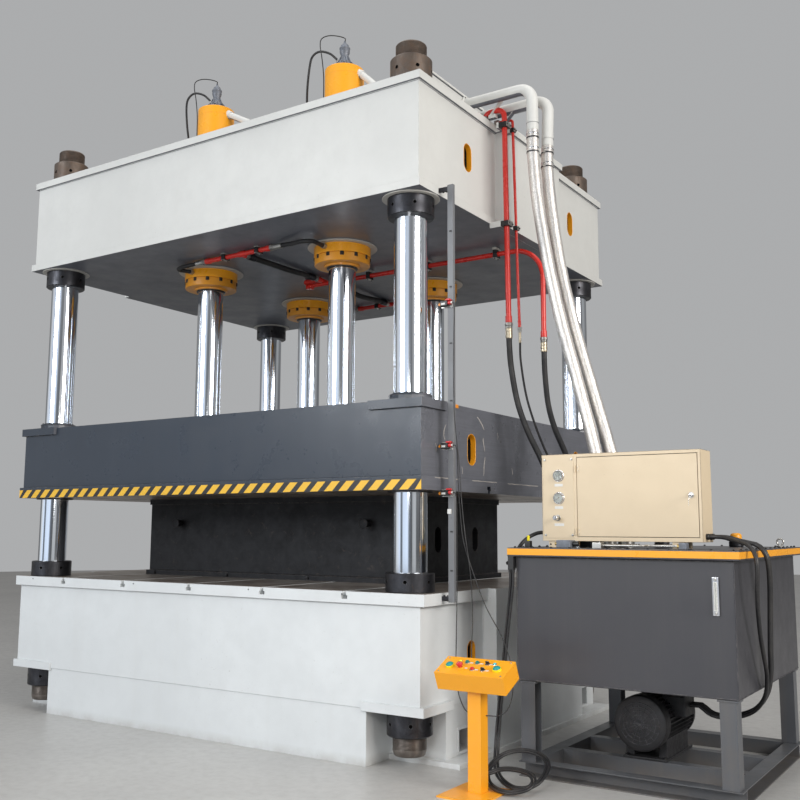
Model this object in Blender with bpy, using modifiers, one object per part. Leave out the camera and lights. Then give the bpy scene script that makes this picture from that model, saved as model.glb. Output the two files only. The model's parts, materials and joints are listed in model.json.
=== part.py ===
"""Four-column hydraulic press with its power unit and operator stand.

Metres, +Z up. The origin is on the floor under the middle of the bed, +X runs
along the wide front to the right, and +Y runs to the back. The press frame is a
bed, a moving slide and a crown on four columns. Four cylinders hang in the crown.
The power unit stands to the right of the bed, and the operator stand in front of it.
"""

import math

import bmesh
import bpy
from mathutils import Matrix, Vector

# ---------------------------------------------------------------- main sizes
GAP = 0.0003                     # kept between pieces that touch
HOSE_GAP = 0.0010                # at a hose end

COL_X, COL_Y, COL_R = 1.917, 1.458, 0.120
COL_LOW, COL_TOP, STUB_R = 0.080, 5.105, 0.115
BORE_R = 0.1215
NUT_R, COLLAR_R = 0.155, 0.170

BED_Z = 1.150                    # height of the table face
BED_PLATE = 0.080
BED_X, BED_Y = 2.150, 1.650      # table plate, half sizes
BODY_X, BODY_Y = 2.105, 1.625    # bed body, half sizes
NOTCH_X, NOTCH_Y, NOTCH_Z = 1.673, 1.289, 0.363
SPOT_R, SPOT_Z = 0.190, 1.149     # spot faces on the table round the columns

SLIDE_LOW, SLIDE_TOP = 1.838, 2.455
SLIDE_STROKE = 1.200
CROWN_LOW, CROWN_TOP = 3.934, 4.779
CROWN_X, CROWN_Y = 2.107, 1.656

CYL_X, CYL_Y, CYL_R = 0.761, 0.731, 0.170
CYL_BORE, PISTON_R, ROD_R = 0.140, 0.1385, 0.115
FLANGE_R, GLAND_R = 0.240, 0.234
CYL_TOP = 5.520

SLOT_PITCH = 0.750               # between table slots
SLOT_NECK, SLOT_HEAD = 0.030, 0.052

TANK_LOW = (2.623, -1.250, 0.600)
TANK_HIGH = (4.033, 0.390, 1.400)
LID_TOP = 1.457
CAB_LOW = (2.700, -1.000, 1.500)
CAB_HIGH = (3.790, -0.780, 2.085)

PIPE_R = 0.045                   # white return pipes
HOSE_R = 0.046                   # metal return hoses
RED_R = 0.021                    # red pressure pipes
BLACK_R = 0.022                  # black pressure hoses
STRAND_R = 0.009                 # the two cables of the operator stand
CABLE_R = 0.013                  # motor cables from the switch cabinet

PANEL_TILT = math.radians(24.0)
PANEL_C = (2.615, -1.8195, 0.7475)   # centre of the panel's face
HEAD_W, HEAD_D, HEAD_T = 0.470, 0.192, 0.115

SEG = 24
COL_SEG = 20                     # columns, their nuts and their bores

# ---------------------------------------------------------------- scene set-up
for old in list(bpy.data.objects):
    bpy.data.objects.remove(old, do_unlink=True)
for old in list(bpy.data.meshes):
    bpy.data.meshes.remove(old)

scene = bpy.context.scene
parts = bpy.data.collections.new("hydraulic_press")
tools = bpy.data.collections.new("cutters")
scene.collection.children.link(parts)
scene.collection.children.link(tools)
tools.hide_render = True


def material(name, colour, rough, metal=0.0):
    mat = bpy.data.materials.new(name)
    mat.use_nodes = True
    shader = mat.node_tree.nodes["Principled BSDF"]
    shader.inputs["Base Color"].default_value = (*colour, 1.0)
    shader.inputs["Roughness"].default_value = rough
    shader.inputs["Metallic"].default_value = metal
    mat.diffuse_color = (*colour, 1.0)
    return mat


WHITE = material("white_paint", (0.66, 0.68, 0.65), 0.45)
BLUE_GREY = material("blue_grey_paint", (0.065, 0.085, 0.11), 0.35)
YELLOW = material("yellow_paint", (0.90, 0.42, 0.03), 0.35)
CHROME = material("hard_chrome", (0.80, 0.81, 0.83), 0.10, 1.0)
BLACKED = material("blacked_steel", (0.030, 0.030, 0.032), 0.40, 0.8)
RUSTY = material("raw_steel", (0.16, 0.11, 0.09), 0.65, 0.5)
DARK = material("dark_steel", (0.035, 0.034, 0.036), 0.55, 0.4)
GREY = material("grey_steel", (0.16, 0.17, 0.18), 0.50, 0.5)
TANK_GREY = material("tank_grey_paint", (0.075, 0.078, 0.09), 0.45)
CREAM = material("cream_enamel", (0.78, 0.66, 0.47), 0.40)
RED = material("red_paint", (0.72, 0.03, 0.02), 0.30)
RUBBER = material("black_rubber", (0.02, 0.02, 0.022), 0.60)
BRAID = material("silver_braid", (0.62, 0.62, 0.63), 0.35, 0.9)
TEAL = material("teal_plastic", (0.02, 0.32, 0.30), 0.30)
RED_CAP = material("red_plastic", (0.75, 0.03, 0.03), 0.30)
BLACK_CAP = material("black_plastic", (0.02, 0.02, 0.02), 0.40)


def put(name, mesh, mat, where, helper):
    obj = bpy.data.objects.new(name, mesh)
    obj.location = where
    if mat:
        mesh.materials.append(mat)
    if helper:
        tools.objects.link(obj)
        obj.hide_render = True
        obj.display_type = "WIRE"
    else:
        parts.objects.link(obj)
    return obj


def box(name, low, high, mat=None, helper=False):
    """A box from its lowest to its highest corner."""
    low, high = Vector(low), Vector(high)
    mesh = bpy.data.meshes.new(name)
    bm = bmesh.new()
    bmesh.ops.create_cube(bm, size=1.0)
    bmesh.ops.scale(bm, vec=high - low, verts=bm.verts)
    bm.to_mesh(mesh)
    bm.free()
    return put(name, mesh, mat, (low + high) / 2, helper)


def drum(name, where, radius, length, axis="Z", mat=None, helper=False, seg=SEG):
    """A cylinder that starts at where and runs length along the axis."""
    mesh = bpy.data.meshes.new(name)
    bm = bmesh.new()
    bmesh.ops.create_cone(
        bm, cap_ends=True, segments=seg, radius1=radius, radius2=radius, depth=length
    )
    bmesh.ops.translate(bm, vec=(0, 0, length / 2), verts=bm.verts)
    turn = {"Z": Matrix(), "X": Matrix.Rotation(math.pi / 2, 3, "Y"), "Y": Matrix.Rotation(-math.pi / 2, 3, "X")}
    if axis != "Z":
        bmesh.ops.rotate(bm, cent=(0, 0, 0), matrix=turn[axis], verts=bm.verts)
    bmesh.ops.recalc_face_normals(bm, faces=bm.faces)
    bm.to_mesh(mesh)
    bm.free()
    return put(name, mesh, mat, where, helper)


def turned(name, where, profile, mat=None, helper=False, seg=SEG):
    """A solid of revolution about Z from a closed or axis-to-axis profile of (radius, z), top to bottom."""
    mesh = bpy.data.meshes.new(name)
    bm = bmesh.new()
    row = [bm.verts.new((r, 0, z)) for r, z in profile]
    for a, b in zip(row, row[1:]):
        bm.edges.new((a, b))
    if profile[0][0] > 1e-6:      # a ring: the profile closes on itself
        bm.edges.new((row[-1], row[0]))
    bm.to_mesh(mesh)
    bm.free()
    obj = put(name, mesh, mat, where, helper)
    spin = obj.modifiers.new("turn", "SCREW")
    spin.axis = "Z"
    spin.steps = seg
    spin.render_steps = seg
    spin.use_merge_vertices = True
    spin.merge_threshold = 0.0001
    return obj


def combine(obj, others, operation):
    for other in others:
        step = obj.modifiers.new(operation.lower(), "BOOLEAN")
        step.operation = operation
        step.object = other
        step.solver = "EXACT"
    return obj


def add(obj, *others):
    return combine(obj, others, "UNION")


def cut(obj, *others):
    return combine(obj, others, "DIFFERENCE")


def smooth(obj, angle=40.0):
    for face in obj.data.polygons:
        face.use_smooth = True
    obj.data.set_sharp_from_angle(angle=math.radians(angle))
    return obj


def oval(name, x, y, z, half_wide, half_high, depth):
    """An upright hand hole through a side plate: a slot with round ends, along X."""
    mesh = bpy.data.meshes.new(name)
    bm = bmesh.new()
    ring = []
    steps = 5
    for k in range(steps + 1):
        a = math.pi * k / steps
        ring.append((half_wide * math.cos(a), half_high - half_wide + half_wide * math.sin(a)))
    for k in range(steps + 1):
        a = math.pi + math.pi * k / steps
        ring.append((half_wide * math.cos(a), -(half_high - half_wide) + half_wide * math.sin(a)))
    face = bm.faces.new([bm.verts.new((-depth / 2, u, v)) for u, v in ring])
    made = bmesh.ops.extrude_face_region(bm, geom=[face])
    bmesh.ops.translate(bm, vec=(depth, 0, 0), verts=[v for v in made["geom"] if isinstance(v, bmesh.types.BMVert)])
    bmesh.ops.recalc_face_normals(bm, faces=bm.faces)
    bm.to_mesh(mesh)
    bm.free()
    return put(name, mesh, None, (x, y, z), True)


def tee(name, along, at, face_z, down, half):
    """A T slot cutter: neck then head, cut from the face at face_z, downwards when down is 1 and upwards when -1."""
    n, h = SLOT_NECK / 2, SLOT_HEAD / 2
    outline = [(-n, 0.02), (n, 0.02), (n, -0.028), (h, -0.028), (h, -0.052), (-h, -0.052), (-h, -0.028), (-n, -0.028)]
    mesh = bpy.data.meshes.new(name)
    bm = bmesh.new()
    ring = []
    for u, v in outline:
        v = v * down
        ring.append(bm.verts.new((u, -half, v) if along == "Y" else (-half, u, v)))
    face = bm.faces.new(ring)
    made = bmesh.ops.extrude_face_region(bm, geom=[face])
    move = (0, 2 * half, 0) if along == "Y" else (2 * half, 0, 0)
    bmesh.ops.translate(bm, vec=move, verts=[v for v in made["geom"] if isinstance(v, bmesh.types.BMVert)])
    bmesh.ops.recalc_face_normals(bm, faces=bm.faces)
    bm.to_mesh(mesh)
    bm.free()
    where = (at, 0, face_z) if along == "Y" else (0, at, face_z)
    return put(name, mesh, None, where, True)


def smooth_route(points, spacing):
    """A curve through the points (Catmull-Rom), about spacing apart, with its first and last runs straight."""
    pts = [Vector(p) for p in points]
    fine = []
    for i in range(1, len(pts) - 2):
        for k in range(24):
            t = k / 24
            a, b, c, d = pts[i - 1 : i + 3]
            fine.append(0.5 * (2 * b + (c - a) * t + (2 * a - 5 * b + 4 * c - d) * t**2 + (3 * b - a - 3 * c + d) * t**3))
    fine.append(pts[-2])
    length = [0.0]
    for a, b in zip(fine, fine[1:]):
        length.append(length[-1] + (b - a).length)
    count = max(2, round(length[-1] / spacing))
    out, j = [pts[0]], 0
    for k in range(count + 1):
        want = length[-1] * k / count
        while j < len(fine) - 2 and length[j + 1] < want:
            j += 1
        span = length[j + 1] - length[j]
        out.append(fine[j].lerp(fine[j + 1], 0 if span == 0 else min(1, (want - length[j]) / span)))
    return out + [pts[-1]]


def piped(points, bend, steps=4):
    """Straight runs with round bends of the given radius at each corner."""
    pts = [Vector(p) for p in points]
    out = [pts[0]]
    for a, b, c in zip(pts, pts[1:], pts[2:]):
        into, away = (a - b).normalized(), (c - b).normalized()
        half = into.angle(away) / 2
        back = bend / math.tan(half)
        middle = b + (into + away).normalized() * bend / math.sin(half)
        start, end = b + into * back - middle, b + away * back - middle
        for k in range(steps + 1):
            out.append(middle + start.slerp(end, k / steps).normalized() * bend)
    return out + [pts[-1]]


def tube(name, points, radius, mat, sides=2, helper=False):
    """A round tube along the points, with its ends filled."""
    curve = bpy.data.curves.new(name, "CURVE")
    curve.dimensions = "3D"
    curve.bevel_depth = radius
    curve.bevel_resolution = sides
    curve.use_fill_caps = True
    line = curve.splines.new("POLY")
    line.points.add(len(points) - 1)
    for slot, p in zip(line.points, points):
        slot.co = (*p, 1.0)
    obj = bpy.data.objects.new(name, curve)
    if mat:
        curve.materials.append(mat)
    if helper:
        tools.objects.link(obj)
    else:
        parts.objects.link(obj)
    return obj


def tube_mesh(name, points, radius, sides=2):
    """The same tube as a closed mesh, to be joined to another piece."""
    source = tube(name + "_line", points, radius, None, sides, True)
    bpy.context.view_layer.update()
    graph = bpy.context.evaluated_depsgraph_get()
    mesh = bpy.data.meshes.new_from_object(source.evaluated_get(graph))
    bm = bmesh.new()
    bm.from_mesh(mesh)
    bmesh.ops.remove_doubles(bm, verts=bm.verts, dist=0.00005)
    bmesh.ops.recalc_face_normals(bm, faces=bm.faces)
    bm.to_mesh(mesh)
    bm.free()
    obj = put(name, mesh, None, (0, 0, 0), True)
    obj.matrix_world = source.matrix_world
    line = source.data
    bpy.data.objects.remove(source, do_unlink=True)
    bpy.data.curves.remove(line)
    return obj


CORNERS = {"front_left": (-1, -1), "front_right": (1, -1), "rear_left": (-1, 1), "rear_right": (1, 1)}


def chambers(name, low, high, wall_x, wall_y, windows):
    """One cutter for the hollows of a ribbed box frame: rooms clear of the column and cylinder bosses, holes through the ribs, and the hand holes that open it."""
    mid, tall = (low + high) / 2, (high - low) * 0.30
    core = box(name + "_rib_hole_x", (-1.200, -0.100, mid - tall), (1.200, 0.100, mid + tall), helper=True)
    found = [
        box(name + "_rib_hole_y", (-0.150, -1.200, mid - tall * 0.9), (0.150, 1.200, mid + tall * 0.9), helper=True),
        box(name + "_middle_chamber", (-0.440, -1.000, low), (0.440, 1.000, high), helper=True),
    ]
    for sx in (-1, 1):
        x = sorted((sx * 1.080, sx * wall_x))
        found.append(box(name + "_end_chamber", (x[0], -1.000, low), (x[1], 1.000, high), helper=True))
        x = sorted((sx * 0.500, sx * 1.020))
        found.append(box(name + "_side_chamber", (x[0], -0.410, low), (x[1], 0.410, high), helper=True))
    for sy in (-1, 1):
        y = sorted((sy * 1.060, sy * wall_y))
        found.append(box(name + "_long_chamber", (-1.600, y[0], low), (1.600, y[1], high), helper=True))
    return add(core, *found, *windows)


# ---------------------------------------------------------------- bed
bed = box("bed", (-BODY_X, -BODY_Y, 0.380), (BODY_X, BODY_Y, 1.100), WHITE)
more = [
    box("bed_table", (-BED_X, -BED_Y, BED_Z - BED_PLATE), (BED_X, BED_Y, BED_Z), helper=True),
    box("bed_side_frames", (-2.216, -0.767, 0.020), (2.216, 0.767, BED_Z), helper=True),
    box("bed_foot_long", (-NOTCH_X, -1.620, 0.0), (NOTCH_X, 1.620, 0.420), helper=True),
    box("bed_foot_cross", (-2.100, -NOTCH_Y, 0.0), (2.100, NOTCH_Y, 0.421), helper=True),
    box("bed_sole", (-2.240, -1.345, 0.0), (2.240, 1.345, 0.036), helper=True),
]
for key, (sx, sy) in CORNERS.items():
    x = sorted((sx * 1.640, sx * 2.140))
    y = sorted((sy * 1.250, sy * 1.640))
    more.append(box("bed_pad_" + key, (x[0], y[0], NOTCH_Z), (x[1], y[1], NOTCH_Z + 0.062), helper=True))
add(bed, *more)
windows = [oval("bed_hand_hole", sx * 2.05, sy * 0.945, 0.682, 0.058, 0.112, 0.40) for sx, sy in CORNERS.values()]
holes = [chambers("bed", 0.240, 0.990, 2.045, 1.565, windows)]
for sx, sy in CORNERS.values():
    x, y = sorted((sx * 1.95, sx * 2.20)), sorted((sy * 0.90, sy * 1.125))
    holes.append(drum("bed_bore", (sx * COL_X, sy * COL_Y, 0.30), BORE_R, 1.0, helper=True, seg=COL_SEG))
    holes.append(drum("bed_spot_face", (sx * COL_X, sy * COL_Y, SPOT_Z), SPOT_R, 0.1, helper=True, seg=COL_SEG))
    holes.append(box("bed_jack_hole", (x[0], y[0], 0.060), (x[1], y[1], 0.205), helper=True))
for k in range(-2, 3):
    holes.append(tee("bed_slot", "Y", k * SLOT_PITCH, BED_Z, 1, 1.8))
cut(bed, *holes)

# ---------------------------------------------------------------- columns, each with its collar on the table, and their nuts
for key, (sx, sy) in CORNERS.items():
    at = (sx * COL_X, sy * COL_Y, 0)
    smooth(turned(
        "column_" + key, at,
        [(0, COL_TOP), (STUB_R, COL_TOP), (STUB_R, CROWN_TOP - 0.05), (COL_R, CROWN_TOP - 0.055), (COL_R, 1.281), (COLLAR_R, 1.281), (COLLAR_R, SPOT_Z + GAP), (COL_R, SPOT_Z + GAP), (COL_R, 0.42), (STUB_R, 0.415), (STUB_R, COL_LOW), (0, COL_LOW)],
        CHROME, seg=COL_SEG,
    ))

    def ring(name, outer, inner, low, high, mat):
        smooth(turned(name, at, [(inner, high), (outer, high), (outer, low), (inner, low)], mat, seg=COL_SEG))

    ring("top_nut_" + key, NUT_R, STUB_R + 0.001, CROWN_TOP + GAP, 4.979, RUSTY)
    ring("upper_collar_" + key, COLLAR_R, COL_R + 0.001, 3.785, CROWN_LOW - GAP, BLACKED)
    ring("bottom_nut_" + key, NUT_R, STUB_R + 0.001, 0.208, NOTCH_Z - GAP, BLACKED)

# ---------------------------------------------------------------- crown
crown = box("crown", (-CROWN_X, -CROWN_Y, CROWN_LOW + 0.03), (CROWN_X, CROWN_Y, CROWN_TOP - 0.03), WHITE)
more = [
    box("crown_floor_plate", (-2.130, -1.680, CROWN_LOW), (2.130, 1.680, CROWN_LOW + 0.060), helper=True),
    box("crown_roof_plate", (-2.130, -1.680, CROWN_TOP - 0.060), (2.130, 1.680, CROWN_TOP), helper=True),
    box("crown_side_frames", (-2.206, -0.510, CROWN_LOW + 0.002), (2.206, 0.510, CROWN_TOP - 0.03), helper=True),
    box("crown_side_roofs", (-2.229, -0.533, CROWN_TOP - 0.058), (2.229, 0.533, CROWN_TOP - 0.002), helper=True),
]
add(crown, *more)


windows = [oval("crown_hand_hole", sx * 2.05, sy * 0.960, 4.370, 0.060, 0.112, 0.40) for sx, sy in CORNERS.values()]
holes = [chambers("crown", CROWN_LOW + 0.110, CROWN_TOP - 0.120, CROWN_X - 0.060, CROWN_Y - 0.060, windows)]
for sx, sy in CORNERS.values():
    holes.append(drum("crown_bore", (sx * COL_X, sy * COL_Y, 3.8), BORE_R, 1.2, helper=True, seg=COL_SEG))
    holes.append(drum("crown_cylinder_bore", (sx * CYL_X, sy * CYL_Y, 3.8), CYL_R + 0.0015, 1.2, helper=True))
cut(crown, *holes)

# ---------------------------------------------------------------- slide
slide = box("slide", (-2.123, -1.645, 1.900), (2.123, 1.645, SLIDE_TOP), BLUE_GREY)
more = [box("slide_plate", (-2.141, -1.670, SLIDE_LOW), (2.141, 1.670, 1.930), helper=True)]
for key, (sx, sy) in CORNERS.items():
    x, y = sorted((sx * 1.700, sx * 2.146)), sorted((sy * 1.335, sy * 1.672))
    more.append(box("slide_guide_block_" + key, (x[0], y[0], 2.395), (x[1], y[1], SLIDE_TOP + 0.004), helper=True))
    more.append(drum("slide_guide_ring", (sx * COL_X, sy * COL_Y, 2.42), 0.152, 0.075, helper=True, seg=COL_SEG))
add(slide, *more)
windows = [oval("slide_hand_hole", sx * 2.05, sy * 0.955, 2.150, 0.063, 0.116, 0.40) for sx, sy in CORNERS.values()]
holes = [chambers("slide", 1.931, SLIDE_TOP - 0.061, 2.063, 1.585, windows)]
for sx, sy in CORNERS.values():
    holes.append(drum("slide_bore", (sx * COL_X, sy * COL_Y, 1.7), BORE_R, 1.0, helper=True, seg=COL_SEG))
for k in range(-2, 3):
    holes.append(tee("slide_slot", "Y", k * SLOT_PITCH, SLIDE_LOW, -1, 1.8))
for k in (-1, 1):
    holes.append(tee("slide_cross_slot", "X", k * 0.724, SLIDE_LOW, -1, 2.3))
cut(slide, *holes)

# ---------------------------------------------------------------- cylinders
for key, (sx, sy) in CORNERS.items():
    at = (sx * CYL_X, sy * CYL_Y, 0)
    pad = CROWN_LOW - GAP
    # barrel with its flange under the crown, and the cast filling valve on its head
    smooth(turned(
        "cylinder_" + key, at,
        [(0, 5.800), (0.045, 5.770), (0.045, 5.655), (0.034, 5.630), (0.084, 5.545), (0.084, CYL_TOP), (CYL_R, CYL_TOP), (CYL_R, pad),
         (FLANGE_R, pad), (FLANGE_R, 3.845), (CYL_BORE, 3.845), (CYL_BORE, 5.440), (0, 5.440)],
        YELLOW,
    ))
    smooth(turned(
        "gland_ring_" + key, at,
        [(ROD_R + 0.0015, 3.845 - GAP), (GLAND_R, 3.845 - GAP), (GLAND_R, 3.770), (0.152, 3.770), (0.148, 3.755), (ROD_R + 0.0015, 3.755)],
        YELLOW,
    ))
    low = SLIDE_TOP + GAP
    smooth(turned(
        "piston_rod_" + key, at,
        [(0, 4.200), (PISTON_R, 4.200), (PISTON_R, 4.060), (ROD_R, 4.055), (ROD_R, low + 0.045), (0.168, low + 0.045), (0.168, low), (0, low)],
        CHROME,
    ))

# ---------------------------------------------------------------- bolster block on the bed
bolster = box("bolster", (-1.450, -0.725, BED_Z + GAP + 0.02), (1.450, 0.725, SLIDE_LOW - GAP - 0.02), DARK)
add(
    bolster,
    box("bolster_sole", (-1.475, -0.745, BED_Z + GAP), (1.475, 0.745, BED_Z + GAP + 0.040), helper=True),
    box("bolster_cap", (-1.462, -0.737, SLIDE_LOW - GAP - 0.045), (1.462, 0.737, SLIDE_LOW - GAP), helper=True),
)
holes = []
for sy in (-1, 1):
    y = sorted((sy * 0.030, sy * 0.665))
    holes.append(box("bolster_chamber", (-1.390, y[0], 1.215), (1.390, y[1], 1.770), helper=True))
    for sx in (-1, 1):
        holes.append(oval("bolster_hand_hole", sx * 1.45, sy * 0.310, 1.490, 0.050, 0.105, 0.22))
cut(bolster, *holes)

# ---------------------------------------------------------------- top oil tank with its two return pipes
top_tank = box("top_tank", (1.250, -1.220, CROWN_TOP + GAP), (1.950, -0.420, 4.985), WHITE)
add(
    top_tank,
    box("top_tank_lid", (1.238, -1.232, 4.978), (1.962, -0.408, 5.000), helper=True),
    tube_mesh("return_pipe_a", piped([(1.90, -0.71, 4.925), (2.533, -0.71, 4.925), (2.533, -0.71, 4.575)], 0.11), PIPE_R, 2),
    tube_mesh("return_pipe_b", piped([(1.90, -0.545, 4.870), (2.598, -0.560, 4.870), (2.598, -0.590, 4.475)], 0.11), PIPE_R, 2),
)
cut(
    top_tank,
    box("top_tank_inside", (1.258, -1.212, 4.79), (1.942, -0.428, 4.972), helper=True),
    drum("top_tank_filler", (1.420, -0.620, 4.90), 0.030, 0.2, helper=True, seg=16),
)

# ---------------------------------------------------------------- red pressure pipes
tube("pressure_pipe", piped([(2.085, -0.640, CROWN_TOP + 0.0015), (2.085, -0.640, 4.845), (2.258, -0.640, 4.845), (2.258, -0.600, 3.12)], 0.060), RED_R, RED)
tube("feed_pipe", piped([(-0.10, -0.03, 3.88), (2.285, -0.03, 3.88), (2.285, -0.03, 3.10)], 0.26), RED_R, RED)

# ---------------------------------------------------------------- hoses that hang between the crown and the power unit
HOSES = {
    "return_hose_a": (HOSE_R, BRAID, 0.22, [(2.533, -0.71, 4.575 - HOSE_GAP), (2.533, -0.71, 4.42), (2.560, -0.705, 4.05), (2.622, -0.69, 3.60), (2.710, -0.665, 3.12), (2.818, -0.63, 2.65), (2.918, -0.60, 2.20), (2.988, -0.575, 1.80), (3.00, -0.57, 1.60), (3.00, -0.57, LID_TOP + 0.08 + HOSE_GAP)]),
    "return_hose_b": (HOSE_R, BRAID, 0.22, [(2.598, -0.590, 4.475 - HOSE_GAP), (2.598, -0.600, 4.32), (2.620, -0.594, 4.00), (2.675, -0.575, 3.55), (2.765, -0.545, 3.08), (2.875, -0.505, 2.62), (2.985, -0.470, 2.18), (3.068, -0.445, 1.80), (3.085, -0.44, 1.60), (3.085, -0.44, LID_TOP + 0.08 + HOSE_GAP)]),
    "pressure_hose": (BLACK_R, RUBBER, 0.105, [(2.258, -0.60, 3.12 - HOSE_GAP), (2.258, -0.597, 2.98), (2.276, -0.60, 2.78), (2.325, -0.60, 2.52), (2.405, -0.60, 2.30), (2.505, -0.60, 2.10), (2.605, -0.60, 1.88), (2.660, -0.60, 1.70), (2.670, -0.60, 1.58), (2.670, -0.60, LID_TOP + 0.06 + HOSE_GAP)]),
    "feed_hose": (BLACK_R, RUBBER, 0.105, [(2.285, -0.03, 3.10 - HOSE_GAP), (2.285, -0.03, 2.96), (2.310, -0.07, 2.78), (2.365, -0.14, 2.55), (2.450, -0.21, 2.35), (2.560, -0.28, 2.16), (2.670, -0.33, 1.92), (2.725, -0.35, 1.74), (2.735, -0.355, 1.60), (2.735, -0.355, LID_TOP + 0.06 + HOSE_GAP)]),
}
for name, (radius, mat, spacing, route) in HOSES.items():
    tube(name, smooth_route(route, spacing), radius, mat)

# ---------------------------------------------------------------- cables
# The stand's two cables lie side by side. They hang from the lid's cable box, make one loop that
# leans on the power unit's leg, and go into the post. The loop lies in a tilted plane, and each
# later stretch lies on the one before, lift being its height above the plane.
LOOP_TILT = math.radians(21.0)
LOOP_NORMAL = Vector((0, -math.sin(LOOP_TILT), math.cos(LOOP_TILT)))


def loop_point(x, y, lift):
    return Vector((x, y, 0.002 + (y + 1.660) * math.tan(LOOP_TILT))) + LOOP_NORMAL * lift


STAND_ROUTE = [
    (2.600, -1.276, 1.310 - HOSE_GAP), (2.600, -1.276, 1.230), (2.583, -1.278, 1.070), (2.553, -1.282, 0.830), (2.526, -1.290, 0.560), (2.508, -1.308, 0.330),
    (2.516, -1.350, 0.180), loop_point(2.562, -1.446, 0.004), loop_point(2.642, -1.546, 0.004), loop_point(2.750, -1.608, 0.004), loop_point(2.840, -1.606, 0.006),
    loop_point(2.893, -1.552, 0.010), loop_point(2.908, -1.460, 0.014), loop_point(2.880, -1.362, 0.018), loop_point(2.812, -1.302, 0.023), loop_point(2.725, -1.284, 0.029),
    loop_point(2.645, -1.308, 0.037), loop_point(2.585, -1.375, 0.045), loop_point(2.560, -1.470, 0.047), loop_point(2.572, -1.570, 0.045), loop_point(2.628, -1.655, 0.043),
    loop_point(2.715, -1.703, 0.043), loop_point(2.812, -1.710, 0.047), loop_point(2.890, -1.674, 0.054), loop_point(2.908, -1.606, 0.060), loop_point(2.862, -1.550, 0.063),
    loop_point(2.788, -1.530, 0.065), loop_point(2.712, -1.534, 0.069), loop_point(2.650, -1.565, 0.074), loop_point(2.611, -1.618, 0.078), (2.600, -1.672, 0.090), (2.600, -1.710 + HOSE_GAP, 0.090),
]


def strand(line, side):
    """The line moved sideways in the loop's plane, by side."""
    moved = []
    for k, p in enumerate(line):
        ahead = (line[min(k + 1, len(line) - 1)] - line[max(k - 1, 0)]).normalized()
        moved.append(p + ahead.cross(LOOP_NORMAL).normalized() * side)
    return moved


stand_line = smooth_route(STAND_ROUTE, 0.045)
tube("console_cable_a", strand(stand_line, -0.0102), STRAND_R, RUBBER)
tube("console_cable_b", strand(stand_line, 0.0102), STRAND_R, RUBBER)

# motor cables: out of the cabinet's side, over the lid's edge, down the tank and under it to the motor
CABLES = {
    "cabinet_cable_a": [(3.790 + HOSE_GAP, -0.930, 1.535), (3.850, -0.930, 1.535), (3.900, -0.945, 1.532), (3.960, -0.980, 1.518), (4.030, -1.045, 1.503), (4.090, -1.105, 1.484), (4.132, -1.145, 1.430),
                        (4.142, -1.155, 1.350), (4.130, -1.125, 1.230), (4.115, -1.065, 1.100), (4.103, -0.985, 0.960), (4.097, -0.900, 0.830), (4.088, -0.800, 0.690),
                        (4.045, -0.700, 0.550), (3.950, -0.620, 0.440), (3.800, -0.565, 0.380), (3.670, -0.543, 0.380), (3.590, -0.540, 0.430), (3.530 + HOSE_GAP, -0.540, 0.430)],
    "cabinet_cable_b": [(3.790 + HOSE_GAP, -0.850, 1.535), (3.850, -0.850, 1.535), (3.900, -0.852, 1.531), (3.960, -0.862, 1.514), (4.030, -0.882, 1.500), (4.090, -0.900, 1.484), (4.134, -0.902, 1.430),
                        (4.144, -0.885, 1.350), (4.134, -0.835, 1.230), (4.118, -0.785, 1.100), (4.108, -0.762, 0.980), (4.102, -0.755, 0.860), (4.090, -0.725, 0.700),
                        (4.045, -0.655, 0.560), (3.950, -0.580, 0.450), (3.800, -0.528, 0.385), (3.670, -0.506, 0.380), (3.590, -0.503, 0.430), (3.530 + HOSE_GAP, -0.503, 0.430)],
}
for name, route in CABLES.items():
    tube(name, smooth_route(route, 0.065), CABLE_R, RUBBER)

# ---------------------------------------------------------------- post with the travel switches
post = box("switch_post", (2.205, -1.430, 1.090), (2.250, -1.404, 3.992), GREY)
add(
    post,
    box("post_foot", (BED_X + GAP, -1.427, 1.098), (2.210, -1.409, 1.128), helper=True),
    box("post_head", (2.130 + GAP, -1.427, 3.952), (2.210, -1.409, 3.982), helper=True),
)
cut(post, box("post_channel", (2.212, -1.423, 1.0), (2.243, -1.390, 4.1), helper=True))

# ---------------------------------------------------------------- power unit
tank = box("tank", TANK_LOW, TANK_HIGH, TANK_GREY)
more = []
for x in (2.640, 3.916):
    for y in (-1.245, 0.285):
        more.append(box("tank_leg", (x, y, 0.05), (x + 0.100, y + 0.100, 0.606), helper=True))
for y in (-1.250, 0.290):
    more.append(box("tank_rail_long", (2.623, y, 0.0), (4.033, y + 0.100, 0.095), helper=True))
for x in (2.623, 3.933):
    more.append(box("tank_rail_side", (x, -1.20, 0.0), (x + 0.100, 0.34, 0.0951), helper=True))
for y in (-0.780, -0.300):
    more.append(box("tank_rail_cross", (2.66, y, 0.0), (3.99, y + 0.080, 0.0949), helper=True))
add(tank, *more)

lid = box("tank_lid", (2.578, -1.295, TANK_HIGH[2] + GAP), (4.078, 0.435, LID_TOP), YELLOW)
add(lid, box("lid_cable_box", (2.579, -1.294, 1.310), (2.6215, -1.255, TANK_HIGH[2] + 0.01), helper=True))
for x, y, radius, tall in ((3.000, -0.570, 0.058, 0.08), (3.085, -0.440, 0.058, 0.08), (2.670, -0.600, 0.026, 0.06), (2.735, -0.355, 0.026, 0.06)):
    add(lid, drum("lid_port", (x, y, LID_TOP - 0.02), radius, tall + 0.02, helper=True, seg=16))

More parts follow.
